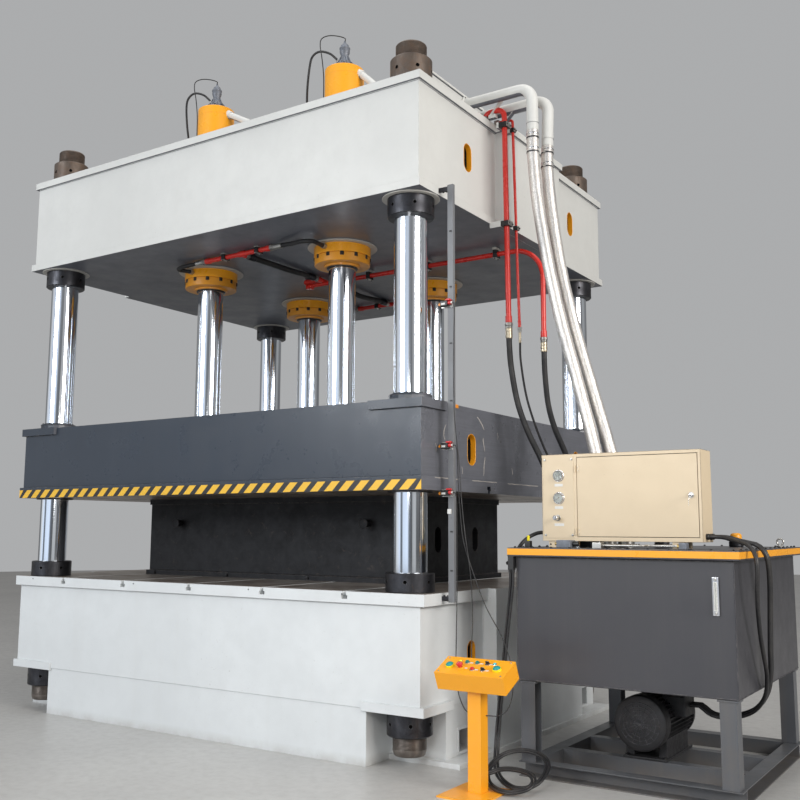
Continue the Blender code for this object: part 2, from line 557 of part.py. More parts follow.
motor = drum("pump_motor", (3.295, -0.860, 0.335), 0.178, 0.720, "Y", DARK)
add(
    motor,
    box("motor_foot", (3.150, -0.780, 0.0951 + GAP), (3.440, -0.220, 0.215), helper=True),
    box("motor_terminal_box", (3.375, -0.640, 0.36), (3.530, -0.440, 0.50), helper=True),
    drum("motor_pump", (3.295, -0.145, 0.335), 0.085, 0.235, "Y", helper=True),
)

cabinet = box("cabinet", CAB_LOW, CAB_HIGH, CREAM)
for x in (2.78, 3.63):
    for y in (-0.97, -0.84):
        add(cabinet, box("cabinet_foot", (x, y, LID_TOP + GAP), (x + 0.08, y + 0.04, 1.505), helper=True))
cut(
    cabinet,
    box("cabinet_inside", (2.708, -0.992, 1.508), (3.782, -0.788, 2.077), helper=True),
    box("cabinet_opening", (2.954, -1.05, 1.528), (3.770, -0.95, 2.062), helper=True),
)
box("cabinet_door", (2.957, -1.000, 1.531), (3.767, -0.984, 2.059), CREAM)
drum("door_lock", (3.724, -1.0005, 1.796), 0.013, -0.018, "Y", CHROME, seg=16)
knob = drum("regulator_knob", (2.815, -1.0005, 1.655), 0.010, -0.030, "Y", CHROME, seg=16)
add(knob, drum("knob_grip", (2.815, -1.022, 1.655), 0.017, -0.034, "Y", helper=True, seg=16))

# ---------------------------------------------------------------- operator stand
# panel frame: u runs right, v up the slope, w out of the panel
lean = Matrix.Rotation(PANEL_TILT, 4, "X")
PANEL = Matrix.Translation(PANEL_C) @ lean


def on_panel(obj):
    obj.matrix_world = PANEL @ Matrix.Translation(obj.location)
    return obj


console = box("console", (2.555, -1.800, 0.004), (2.645, -1.710, 0.640), YELLOW)
head = on_panel(box("console_head", (-HEAD_W / 2, -HEAD_D / 2, -HEAD_T), (HEAD_W / 2, HEAD_D / 2, 0.0), helper=True))
hollow = on_panel(box("console_hollow", (-HEAD_W / 2 + 0.003, -HEAD_D / 2 + 0.003, -HEAD_T + 0.003), (HEAD_W / 2 - 0.003, HEAD_D / 2 - 0.003, -0.003), helper=True))
add(console, box("console_base", (2.440, -1.980, 0.0), (2.750, -1.610, 0.010), helper=True))
add(console, head)
cut(console, hollow, box("console_cable_way", (2.575, -1.780, 0.55), (2.625, -1.730, 0.70), helper=True))

CONTROLS = {
    # name: (u, v, kind)
    "palm_button_left": (-0.165, -0.012, "palm", TEAL),
    "emergency_stop": (-0.088, -0.020, "stop", RED_CAP),
    "push_button_a": (-0.068, 0.040, "push", TEAL),
    "push_button_b": (0.002, 0.040, "push", TEAL),
    "push_button_red": (0.000, -0.030, "push", RED_CAP),
    "selector_upper": (0.072, 0.040, "turn", BLACK_CAP),
    "selector_lower": (0.072, -0.030, "turn", BLACK_CAP),
    "palm_button_right": (0.160, -0.012, "palm", TEAL),
}
for name, (u, v, kind, mat) in CONTROLS.items():
    hole = on_panel(drum(name + "_hole", (u, v, -0.02), 0.0085, 0.03, helper=True, seg=12))
    cut(console, hole)
    if kind == "palm":
        shape = [(0, 0.024), (0.016, 0.023), (0.0225, 0.017), (0.0225, 0.010), (0.008, 0.010), (0.008, -0.012), (0, -0.012)]
    elif kind == "stop":
        shape = [(0, 0.036), (0.013, 0.034), (0.0205, 0.027), (0.012, 0.018), (0.008, 0.010), (0.008, -0.012), (0, -0.012)]
    elif kind == "push":
        shape = [(0, 0.014), (0.0115, 0.013), (0.0115, 0.006), (0.008, 0.006), (0.008, -0.012), (0, -0.012)]
    else:
        shape = [(0, 0.010), (0.0125, 0.010), (0.0125, 0.001), (0.008, 0.001), (0.008, -0.012), (0, -0.012)]
    cap = on_panel(turned(name, (u, v, 0), shape, mat, seg=12))
    if kind == "turn":
        add(cap, on_panel(box(name + "_wing", (u - 0.004, v - 0.0125, 0.006), (u + 0.004, v + 0.0125, 0.022), helper=True)))
    smooth(cap)
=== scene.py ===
"""Looks of a four-column hydraulic press with its power unit and operator stand.

Metres, +Z up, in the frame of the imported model. Each surface gets a procedural
finish, and each plain round or thin solid is replaced by a finely modelled piece.
"""

import json
import math
import random

import bmesh
import bpy
from mathutils import Matrix, Vector

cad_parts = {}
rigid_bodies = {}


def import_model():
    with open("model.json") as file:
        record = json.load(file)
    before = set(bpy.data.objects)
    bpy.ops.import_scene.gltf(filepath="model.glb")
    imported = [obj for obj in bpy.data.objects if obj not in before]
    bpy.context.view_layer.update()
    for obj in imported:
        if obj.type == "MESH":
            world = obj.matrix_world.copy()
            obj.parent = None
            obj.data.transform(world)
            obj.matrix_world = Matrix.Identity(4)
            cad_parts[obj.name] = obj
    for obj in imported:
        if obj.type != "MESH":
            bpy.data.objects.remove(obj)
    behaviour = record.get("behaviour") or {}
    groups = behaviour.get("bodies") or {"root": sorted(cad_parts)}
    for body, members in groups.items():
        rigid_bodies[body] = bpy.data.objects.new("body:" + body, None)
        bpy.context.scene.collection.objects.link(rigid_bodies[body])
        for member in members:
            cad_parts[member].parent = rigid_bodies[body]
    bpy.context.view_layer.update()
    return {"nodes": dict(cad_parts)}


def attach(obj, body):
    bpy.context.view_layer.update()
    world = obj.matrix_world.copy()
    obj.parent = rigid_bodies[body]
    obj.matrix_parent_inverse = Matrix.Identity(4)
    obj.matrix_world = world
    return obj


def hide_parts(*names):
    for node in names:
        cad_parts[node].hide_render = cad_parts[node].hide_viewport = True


for old in list(bpy.data.objects):
    bpy.data.objects.remove(old, do_unlink=True)
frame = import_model()
NODES = frame["nodes"]
RNG = random.Random(7)

SCENE = bpy.context.scene
PIECES = bpy.data.collections.new("finish")
SCENE.collection.children.link(PIECES)
CORNERS = {"front_left": (-1, -1), "front_right": (1, -1), "rear_left": (-1, 1), "rear_right": (1, 1)}

# ================================================================ camera
EYE = Vector((5.549, -7.115, 1.580))
YAW, PITCH, ROLL = math.radians(33.328), math.radians(7.564), math.radians(0.215)
look = Vector((-math.sin(YAW) * math.cos(PITCH), math.cos(YAW) * math.cos(PITCH), math.sin(PITCH)))
right0 = Vector((math.cos(YAW), math.sin(YAW), 0))
up0 = right0.cross(look)
right = math.cos(ROLL) * right0 + math.sin(ROLL) * up0
above = -math.sin(ROLL) * right0 + math.cos(ROLL) * up0
camera_data = bpy.data.cameras.new("camera")
camera_data.sensor_width = 36.0
camera_data.lens = 967.17 / 800.0 * 36.0
camera_data.clip_end = 200.0
camera = bpy.data.objects.new("camera", camera_data)
SCENE.collection.objects.link(camera)
camera.matrix_world = Matrix((
    (right.x, above.x, -look.x, EYE.x),
    (right.y, above.y, -look.y, EYE.y),
    (right.z, above.z, -look.z, EYE.z),
    (0, 0, 0, 1),
))
SCENE.camera = camera


# ================================================================ materials
class Finish:
    """A node material that is built up step by step. Its textures are in metres on the object."""

    def __init__(self, name):
        self.mat = bpy.data.materials.new(name)
        self.mat.use_nodes = True
        self.tree = self.mat.node_tree
        self.tree.nodes.clear()
        self.out = self.tree.nodes.new("ShaderNodeOutputMaterial")
        self.shader = self.tree.nodes.new("ShaderNodeBsdfPrincipled")
        self.link(self.shader.outputs[0], self.out.inputs[0])
        self.place = self.tree.nodes.new("ShaderNodeTexCoord").outputs["Object"]

    def link(self, a, b):
        self.tree.links.new(a, b)

    def node(self, kind, **settings):
        made = self.tree.nodes.new(kind)
        for key, value in settings.items():
            setattr(made, key, value)
        return made

    def put(self, socket, value):
        if isinstance(value, (int, float)):
            socket.default_value = value
        elif isinstance(value, tuple):
            socket.default_value = (*value, 1.0) if len(value) == 3 and socket.type == "RGBA" else value
        else:
            self.link(value, socket)

    def stretched(self, scale, turn=(0, 0, 0)):
        made = self.node("ShaderNodeMapping")
        self.link(self.place, made.inputs[0])
        made.inputs["Scale"].default_value = scale
        made.inputs["Rotation"].default_value = turn
        return made.outputs[0]

    def noise(self, scale, detail=3.0, rough=0.5, stretch=None, warp=0.0):
        made = self.node("ShaderNodeTexNoise")
        self.link(self.stretched(stretch) if stretch else self.place, made.inputs["Vector"])
        made.inputs["Scale"].default_value = scale
        made.inputs["Detail"].default_value = detail
        made.inputs["Roughness"].default_value = rough
        made.inputs["Distortion"].default_value = warp
        return made.outputs[0]

    def ramp(self, value, low, high, out_low=0.0, out_high=1.0):
        made = self.node("ShaderNodeMapRange")
        self.link(value, made.inputs[0])
        for k, v in zip((1, 2, 3, 4), (low, high, out_low, out_high)):
            made.inputs[k].default_value = v
        return made.outputs[0]

    def math(self, operation, a, b=0.0):
        made = self.node("ShaderNodeMath", operation=operation)
        self.put(made.inputs[0], a)
        self.put(made.inputs[1], b)
        return made.outputs[0]

    def mix(self, amount, a, b, blend="MIX"):
        made = self.node("ShaderNodeMix", data_type="RGBA", blend_type=blend)
        self.put(made.inputs[0], amount)
        self.put(made.inputs[6], a)
        self.put(made.inputs[7], b)
        return made.outputs[2]

    def axis(self, source, which):
        made = self.node("ShaderNodeSeparateXYZ")
        self.link(source, made.inputs[0])
        return made.outputs[which]

    def bump(self, height, distance, strength=1.0, after=None):
        made = self.node("ShaderNodeBump")
        made.inputs["Strength"].default_value = strength
        made.inputs["Distance"].default_value = distance
        self.link(height, made.inputs["Height"])
        if after is not None:
            self.link(after, made.inputs["Normal"])
        return made.outputs[0]

    def rounded(self, radius, samples=4):
        made = self.node("ShaderNodeBevel", samples=samples)
        made.inputs["Radius"].default_value = radius
        return made.outputs[0]

    def edges(self, radius, gain=6.0):
        """1 on outer and inner edges, 0 on flat ground."""
        flat = self.node("ShaderNodeNewGeometry").outputs["Normal"]
        dot = self.node("ShaderNodeVectorMath", operation="DOT_PRODUCT")
        self.link(self.rounded(radius), dot.inputs[0])
        self.link(flat, dot.inputs[1])
        return self.math("MINIMUM", self.math("MULTIPLY", self.math("SUBTRACT", 1.0, dot.outputs["Value"]), gain), 1.0)

    def set(self, **values):
        names = {"colour": "Base Color", "metal": "Metallic", "rough": "Roughness", "normal": "Normal", "coat": "Coat Weight",
                 "coat_rough": "Coat Roughness", "specular": "Specular IOR Level", "sheen": "Sheen Weight",
                 "glow": "Emission Color", "glow_power": "Emission Strength", "clear": "Transmission Weight", "ior": "IOR", "aniso": "Anisotropic"}
        for key, value in values.items():
            self.put(self.shader.inputs[names[key]], value)
        return self.mat


def shade_of(colour, k):
    return tuple(min(1.0, c * k) for c in colour)


def paint(name, colour, rough=0.40, streak=0.10, grime=0.12, grime_colour=(0.16, 0.13, 0.10), wear=0.35, bare=(0.24, 0.21, 0.19),
          peel=0.25, wobble=0.0012, under=None, table=None, foot=0.0, edge=0.006, sides=None):
    """Sprayed machine enamel: faint clouds, run-down streaks, dirt, chipped edges and orange peel."""
    f = Finish(name)
    clouds = f.noise(0.8, 4.0, 0.6)
    patches = f.noise(5.0, 5.0, 0.62)
    drips = f.noise(9.0, 3.0, 0.6, stretch=(1.0, 1.0, 0.06))
    tone = f.mix(f.ramp(clouds, 0.32, 0.68), shade_of(colour, 0.93), shade_of(colour, 1.04))
    tone = f.mix(f.ramp(patches, 0.40, 0.72, 0.0, 0.55), tone, shade_of(colour, 0.90))
    tone = f.mix(f.ramp(drips, 0.52, 0.78, 0.0, streak), tone, shade_of(grime_colour, 1.6))
    dirt = f.ramp(f.noise(2.3, 8.0, 0.68, warp=0.4), 0.56, 0.80, 0.0, grime)
    if foot:
        height = f.axis(f.place, 2)
        low = f.math("MULTIPLY", f.ramp(height, 0.0, foot, 1.0, 0.0), f.ramp(f.noise(6.0, 6.0, 0.65), 0.30, 0.75, 0.15, 1.0))
        dirt = f.math("MINIMUM", f.math("ADD", dirt, f.math("MULTIPLY", low, 0.62)), 0.85)
    tone = f.mix(dirt, tone, grime_colour)
    specks = f.ramp(f.noise(55.0, 2.0, 0.5), 0.70, 0.76, 0.0, 0.30)
    tone = f.mix(f.math("MULTIPLY", specks, f.ramp(f.noise(1.7, 2.0), 0.45, 0.62)), tone, shade_of(grime_colour, 0.8))
    worn = f.math("MULTIPLY", f.edges(edge), f.ramp(f.noise(26.0, 5.0, 0.7), 0.48, 0.60, 0.0, wear))
    tone = f.mix(worn, tone, bare)
    up = f.axis(f.node("ShaderNodeNewGeometry").outputs["Normal"], 2)
    gloss = f.ramp(patches, 0.3, 0.7, rough - 0.06, rough + 0.09)
    # faces turned towards ±X take a lighter colour with vertical streaks: painted sheen of light on those side faces
    if sides:
        across = f.math("ABSOLUTE", f.axis(f.node("ShaderNodeNewGeometry").outputs["Normal"], 0))
        sheen_streaks = f.noise(1.0, 3.0, 0.55, stretch=(2.0, 3.0, 90.0))
        face = f.mix(f.ramp(sheen_streaks, 0.3, 0.7, 0.0, 0.6), sides, shade_of(sides, 0.72))
        face = f.mix(f.ramp(f.noise(2.6, 6.0, 0.66, warp=0.5), 0.45, 0.75, 0.0, 0.5), face, grime_colour)
        tone = f.mix(f.math("GREATER_THAN", across, 0.7), tone, face)
    # faces pointing down take the darker under colour: painted shade beneath the part, over the darker finish of its
    # underside
    if under:
        tone = f.mix(f.math("LESS_THAN", up, -0.7), tone, f.mix(f.ramp(f.noise(3.5, 6.0, 0.65), 0.3, 0.7), under, shade_of(under, 0.72)))
    metal = None
    if table is not None:
        # a machined face: cutter lines along X, oil and fine rust
        ground = f.math("MULTIPLY", f.math("GREATER_THAN", f.math("MULTIPLY", up, table[1]), 0.7),
                        f.math("LESS_THAN", f.math("ABSOLUTE", f.math("SUBTRACT", f.axis(f.place, 2), table[0])), 0.003))
        lines = f.noise(1.0, 2.0, 0.5, stretch=(1.5, 420.0, 1.0))
        steel = f.mix(f.ramp(lines, 0.3, 0.7), (0.52, 0.475, 0.435), (0.39, 0.35, 0.315))
        steel = f.mix(f.ramp(f.noise(3.0, 8.0, 0.7, warp=0.6), 0.42, 0.72), steel, (0.170, 0.110, 0.075))
        steel = f.mix(f.ramp(f.noise(1.1, 4.0, 0.6), 0.55, 0.70, 0.0, 0.6), steel, (0.11, 0.10, 0.092))
        tone = f.mix(ground, tone, steel)
        metal = f.math("MULTIPLY", ground, 0.65)
        gloss = f.math("ADD", gloss, f.math("MULTIPLY", ground, 0.04))
    skin = f.bump(f.noise(420.0, 2.0), 0.0004, peel, after=f.rounded(edge * 0.7))
    skin = f.bump(f.noise(2.2, 2.0, 0.4), wobble, 0.6, after=skin)
    skin = f.bump(drips, 0.0004, 0.35, after=skin)
    values = {"colour": tone, "rough": gloss, "normal": skin, "coat": 0.12, "coat_rough": 0.18}
    if metal is not None:
        values["metal"] = metal
    return f.set(**values)


def chrome(name):
    f = Finish(name)
    lines = f.noise(1.0, 2.0, 0.5, stretch=(2.0, 2.0, 60.0))
    smear = f.noise(3.0, 3.0, 0.55, stretch=(1.0, 1.0, 0.35))
    tone = f.mix(f.ramp(smear, 0.50, 0.80), (0.83, 0.88, 0.95), (0.74, 0.78, 0.84))
    gloss = f.math("ADD", f.ramp(smear, 0.3, 0.8, 0.085, 0.110), f.ramp(lines, 0.3, 0.7, 0.0, 0.012))
    return f.set(colour=tone, metal=1.0, rough=gloss)


def steel(name, light, dark, rust=None, rust_amount=0.0, rough=0.42, metal=0.85, lines=(300.0, 300.0, 2.0), edge=0.004, edge_tone=None, pits=0.3):
    """Bare or blacked steel with tool marks, stains and lighter edges."""
    f = Finish(name)
    marks = f.noise(1.0, 2.0, 0.5, stretch=lines)
    stains = f.noise(9.0, 7.0, 0.68, warp=0.5)
    tone = f.mix(f.ramp(stains, 0.35, 0.70), light, dark)
    tone = f.mix(f.ramp(marks, 0.3, 0.7, 0.0, 0.35), tone, dark)
    flat = 0.0
    if rust:
        flat = f.ramp(f.noise(14.0, 9.0, 0.72, warp=0.7), 0.62 - rust_amount * 0.35, 0.78 - rust_amount * 0.2)
        tone = f.mix(flat, tone, f.mix(f.noise(90.0, 3.0), rust, shade_of(rust, 0.45)))
    if edge_tone:
        tone = f.mix(f.math("MULTIPLY", f.edges(edge), f.ramp(f.noise(40.0, 4.0), 0.35, 0.6)), tone, edge_tone)
    skin = f.bump(marks, 0.0002, 0.4, after=f.rounded(edge * 0.6))
    skin = f.bump(f.noise(160.0, 4.0, 0.6), 0.0004, pits, after=skin)
    gloss = f.ramp(stains, 0.3, 0.75, rough - 0.08, rough + 0.16)
    shine = metal if not rust else f.math("MULTIPLY", f.math("SUBTRACT", 1.0, flat), metal)
    return f.set(colour=tone, metal=shine, rough=gloss, normal=skin)


def rubber(name, colour=(0.018, 0.018, 0.020), rough=0.50, wrap=False):
    f = Finish(name)
    dust = f.ramp(f.noise(5.0, 7.0, 0.7), 0.45, 0.78, 0.0, 0.55)
    tone = f.mix(dust, colour, (0.075, 0.070, 0.064))
    grain = f.noise(700.0, 2.0)
    skin = f.bump(grain, 0.0003, 0.35)
    if wrap:
        cloth = f.node("ShaderNodeTexWave", wave_type="BANDS", bands_direction="Z")
        f.link(f.place, cloth.inputs["Vector"])
        cloth.inputs["Scale"].default_value = 60.0
        cloth.inputs["Distortion"].default_value = 2.0
        skin = f.bump(cloth.outputs[1], 0.0004, 0.3, after=skin)
    return f.set(colour=tone, rough=f.ramp(f.noise(11.0, 5.0), 0.3, 0.7, rough - 0.1, rough + 0.14), normal=skin, specular=0.42)


def plastic(name, colour, rough=0.28):
    f = Finish(name)
    tone = f.mix(f.ramp(f.noise(60.0, 4.0, 0.6), 0.4, 0.75, 0.0, 0.5), colour, shade_of(colour, 0.72))
    skin = f.bump(f.noise(900.0, 2.0), 0.0002, 0.25, after=f.rounded(0.0010))
    return f.set(colour=tone, rough=f.ramp(f.noise(40.0, 4.0), 0.3, 0.7, rough - 0.05, rough + 0.1), normal=skin)


def braid(name):
    """Wire braid over a metal hose: crossed strands, speckled with painted glints that are brightest on their crests,
    and painted darker reflection lines lengthwise.
    """
    f = Finish(name)
    spark = f.noise(170.0, 3.0, 0.7)
    cross = f.noise(75.0, 2.0, 0.5)
    along = f.noise(34.0, 4.0, 0.62, stretch=(1.0, 1.0, 0.05))
    # the speckle, the bright blotches and the dark lengthwise streaks paint glints and reflections into the colour
    tone = f.mix(f.ramp(spark, 0.38, 0.66), (0.83, 0.80, 0.765), (0.50, 0.475, 0.45))
    tone = f.mix(f.ramp(cross, 0.44, 0.64, 0.0, 0.45), tone, (0.90, 0.875, 0.845))
    tone = f.mix(f.ramp(along, 0.50, 0.66, 0.0, 0.60), tone, (0.44, 0.43, 0.435))
    skin = f.bump(spark, 0.0020, 0.8)
    skin = f.bump(cross, 0.0018, 0.6, after=skin)
    return f.set(colour=tone, metal=0.66, rough=f.ramp(spark, 0.3, 0.7, 0.27, 0.42), normal=skin)


def cast(name, colour, rough=0.55, metal=0.2):
    f = Finish(name)
    tone = f.mix(f.ramp(f.noise(22.0, 6.0, 0.65), 0.35, 0.7), colour, shade_of(colour, 0.62))
    tone = f.mix(f.ramp(f.noise(8.0, 5.0, 0.6), 0.55, 0.75, 0.0, 0.5), tone, (0.05, 0.045, 0.04))
    tone = f.mix(f.math("MULTIPLY", f.edges(0.003), 0.5), tone, shade_of(colour, 1.5))
    skin = f.bump(f.noise(230.0, 5.0, 0.65), 0.0009, 0.6, after=f.rounded(0.0018))
    return f.set(colour=tone, metal=metal, rough=f.ramp(f.noise(30.0, 4.0), 0.3, 0.7, rough - 0.1, rough + 0.12), normal=skin)


def glass(name):
    f = Finish(name)
    return f.set(colour=(0.93, 0.96, 0.95), rough=0.03, clear=0.9, ior=1.45, normal=f.bump(f.noise(30.0, 2.0), 0.0003, 0.1))


def plain(name, colour, rough=0.5, metal=0.0, spread=0.85, grain=120.0):
    f = Finish(name)
    tone = f.mix(f.ramp(f.noise(grain * 0.25, 5.0, 0.65), 0.35, 0.7), colour, shade_of(colour, spread))
    return f.set(colour=tone, metal=metal, rough=f.ramp(f.noise(grain * 0.4, 3.0), 0.3, 0.7, rough - 0.06, rough + 0.08),
                 normal=f.bump(f.noise(grain * 4, 2.0), 0.0002, 0.3))


# under: a darker colour on faces pointing down, painted shade beneath the crown and the bed over their darker
# undersides
WHITE = paint("white_enamel", (0.68, 0.685, 0.665), rough=0.38, streak=0.05, grime=0.05, grime_colour=(0.36, 0.33, 0.29), under=(0.155, 0.164, 0.195))
BED_WHITE = paint("bed_enamel", (0.725, 0.755, 0.770), rough=0.36, streak=0.05, grime=0.06, grime_colour=(0.34, 0.31, 0.27), table=(1.15, 1.0), foot=0.07, under=(0.2, 0.18, 0.16))
# its ±X faces take the lighter sides colour: painted sheen on the slide's side faces
SLIDE_BLUE = paint("slide_enamel", (0.022, 0.032, 0.049), rough=0.30, streak=0.06, grime=0.22, grime_colour=(0.055, 0.061, 0.072), wear=0.65,
                   bare=(0.34, 0.31, 0.28), table=(1.838, -1.0), wobble=0.0016, sides=(0.146, 0.152, 0.177))
YELLOW = paint("yellow_enamel", (0.97, 0.41, 0.018), rough=0.30, streak=0.05, grime=0.10, grime_colour=(0.35, 0.15, 0.03), wear=0.25, bare=(0.25, 0.18, 0.10), edge=0.003)
RING_YELLOW = paint("ring_enamel", (0.80, 0.33, 0.02), rough=0.36, streak=0.08, grime=0.30, grime_colour=(0.22, 0.09, 0.02), wear=0.35, bare=(0.16, 0.12, 0.08), edge=0.003)
TANK_GREY = paint("tank_enamel", (0.044, 0.044, 0.052), rough=0.38, streak=0.08, grime=0.18, grime_colour=(0.085, 0.080, 0.074), wear=0.5, bare=(0.30, 0.28, 0.26), foot=0.12, edge=0.004)
CREAM = paint("cream_enamel_finish", (0.745, 0.61, 0.425), rough=0.42, streak=0.06, grime=0.10, grime_colour=(0.42, 0.32, 0.20), wear=0.25, bare=(0.35, 0.28, 0.2), peel=0.5, wobble=0.0006, edge=0.003)
RED = paint("red_enamel", (0.70, 0.032, 0.022), rough=0.26, streak=0.10, grime=0.15, grime_colour=(0.25, 0.02, 0.015), wear=0.3, bare=(0.2, 0.1, 0.08), edge=0.002)
POST_GREY = paint("post_enamel", (0.165, 0.172, 0.185), rough=0.45, streak=0.2, grime=0.3, grime_colour=(0.10, 0.09, 0.08), wear=0.5, edge=0.002)
RAIL_GREY = paint("rail_enamel", (0.090, 0.096, 0.108), rough=0.45, streak=0.2, grime=0.4, grime_colour=(0.14, 0.115, 0.09), wear=0.5, foot=0.10, edge=0.003)
PALE = paint("pale_ring_enamel", (0.52, 0.51, 0.48), rough=0.5, grime=0.2, grime_colour=(0.3, 0.26, 0.2), wear=0.1, edge=0.003)
CHROME = chrome("hard_chrome_plate")
BLACKED = steel("black_oxide", (0.070, 0.072, 0.082), (0.026, 0.026, 0.030), rough=0.34, metal=0.8, edge_tone=(0.20, 0.20, 0.21), rust=(0.12, 0.06, 0.03), rust_amount=0.05)
RUSTY = steel("rusted_steel", (0.19, 0.155, 0.13), (0.10, 0.08, 0.068), rust=(0.155, 0.088, 0.052), rust_amount=0.42, rough=0.48, metal=0.75)
BARE = steel("bare_steel", (0.30, 0.27, 0.245), (0.15, 0.13, 0.118), rust=(0.13, 0.085, 0.06), rust_amount=0.12, rough=0.34, metal=0.92)
BLOCK = steel("block_steel", (0.017, 0.018, 0.021), (0.009, 0.0095, 0.0115), rust=(0.060, 0.040, 0.030), rust_amount=0.10, rough=0.50, metal=0.45, lines=(3.0, 3.0, 160.0),
              edge_tone=(0.13, 0.11, 0.10), edge=0.005, pits=0.5)
BOLT = steel("bolt_steel", (0.045, 0.045, 0.048), (0.02, 0.02, 0.022), rough=0.38, metal=0.7, edge_tone=(0.22, 0.21, 0.20), edge=0.0015)
ZINC = steel("zinc_steel", (0.58, 0.57, 0.54), (0.38, 0.37, 0.35), rough=0.30, metal=0.9, edge=0.0015, pits=0.2)
BRASS = steel("brass_fitting", (0.62, 0.45, 0.18), (0.42, 0.29, 0.11), rough=0.30, metal=0.95, edge=0.0015, pits=0.2)
BRIGHT = steel("bright_plate", (0.80, 0.80, 0.81), (0.62, 0.62, 0.64), rough=0.18, metal=1.0, edge=0.001, pits=0.1)
CAST_GREY = cast("cast_grey", (0.215, 0.235, 0.275), rough=0.48, metal=0.25)
MOTOR_BLACK = cast("motor_black", (0.026, 0.026, 0.029), rough=0.50, metal=0.15)
HOSE = rubber("hose_cover", wrap=True)
CABLE = rubber("cable_jacket", (0.016, 0.016, 0.018), rough=0.42)
BRAID = braid("wire_braid")
TEAL = plastic("teal_cap", (0.010, 0.30, 0.30))
CYAN = plastic("cyan_lens", (0.05, 0.55, 0.62), 0.15)
AMBER = plastic("amber_lens", (0.95, 0.88, 0.03), 0.15)
RED_CAP = plastic("red_cap", (0.66, 0.035, 0.040))
BLACK_CAP = plastic("black_cap", (0.016, 0.016, 0.017), 0.35)
WHITE_CAP = plastic("white_cap", (0.72, 0.72, 0.70), 0.35)
ORANGE_CAP = plastic("orange_cap", (0.85, 0.30, 0.02), 0.35)
GLASS = glass("gauge_glass")
DIAL = plain("dial_white", (0.80, 0.80, 0.77), 0.45)
LEMON = plastic("lemon_bezel", (0.88, 0.74, 0.015), 0.25)
PALE_BRASS = steel("worn_brass_ferrule", (0.62, 0.54, 0.40), (0.42, 0.36, 0.27), rough=0.30, metal=0.9, edge=0.0015, pits=0.2)
GREEN_CAP = plastic("green_cap", (0.02, 0.22, 0.20))
LABEL = plain("blank_label", (0.78, 0.77, 0.74), 0.35, grain=60)
# flat black for the insides of holes, sockets and hand holes: painted shade where little light gets in
HOLE_SHADE = plain("painted_hole_shade", (0.004, 0.004, 0.004), 0.95)
PRIMER = plain("bared_primer", (0.46, 0.43, 0.40), 0.6, grain=50)
STRIPE_YELLOW = paint("stripe_yellow", (0.86, 0.50, 0.03), rough=0.35, grime=0.25, grime_colour=(0.25, 0.16, 0.05), wear=0.3, bare=(0.06, 0.07, 0.08), edge=0.001)
STRIPE_BLACK = paint("stripe_black", (0.012, 0.012, 0.013), rough=0.35, grime=0.3, grime_colour=(0.06, 0.055, 0.05), wear=0.2, edge=0.001)


# ================================================================ shape building
def aim(at, along):
    """A frame at a point, with its Z along a direction."""
    return Matrix.Translation(Vector(at)) @ Vector(along).to_track_quat("Z", "Y").to_matrix().to_4x4()


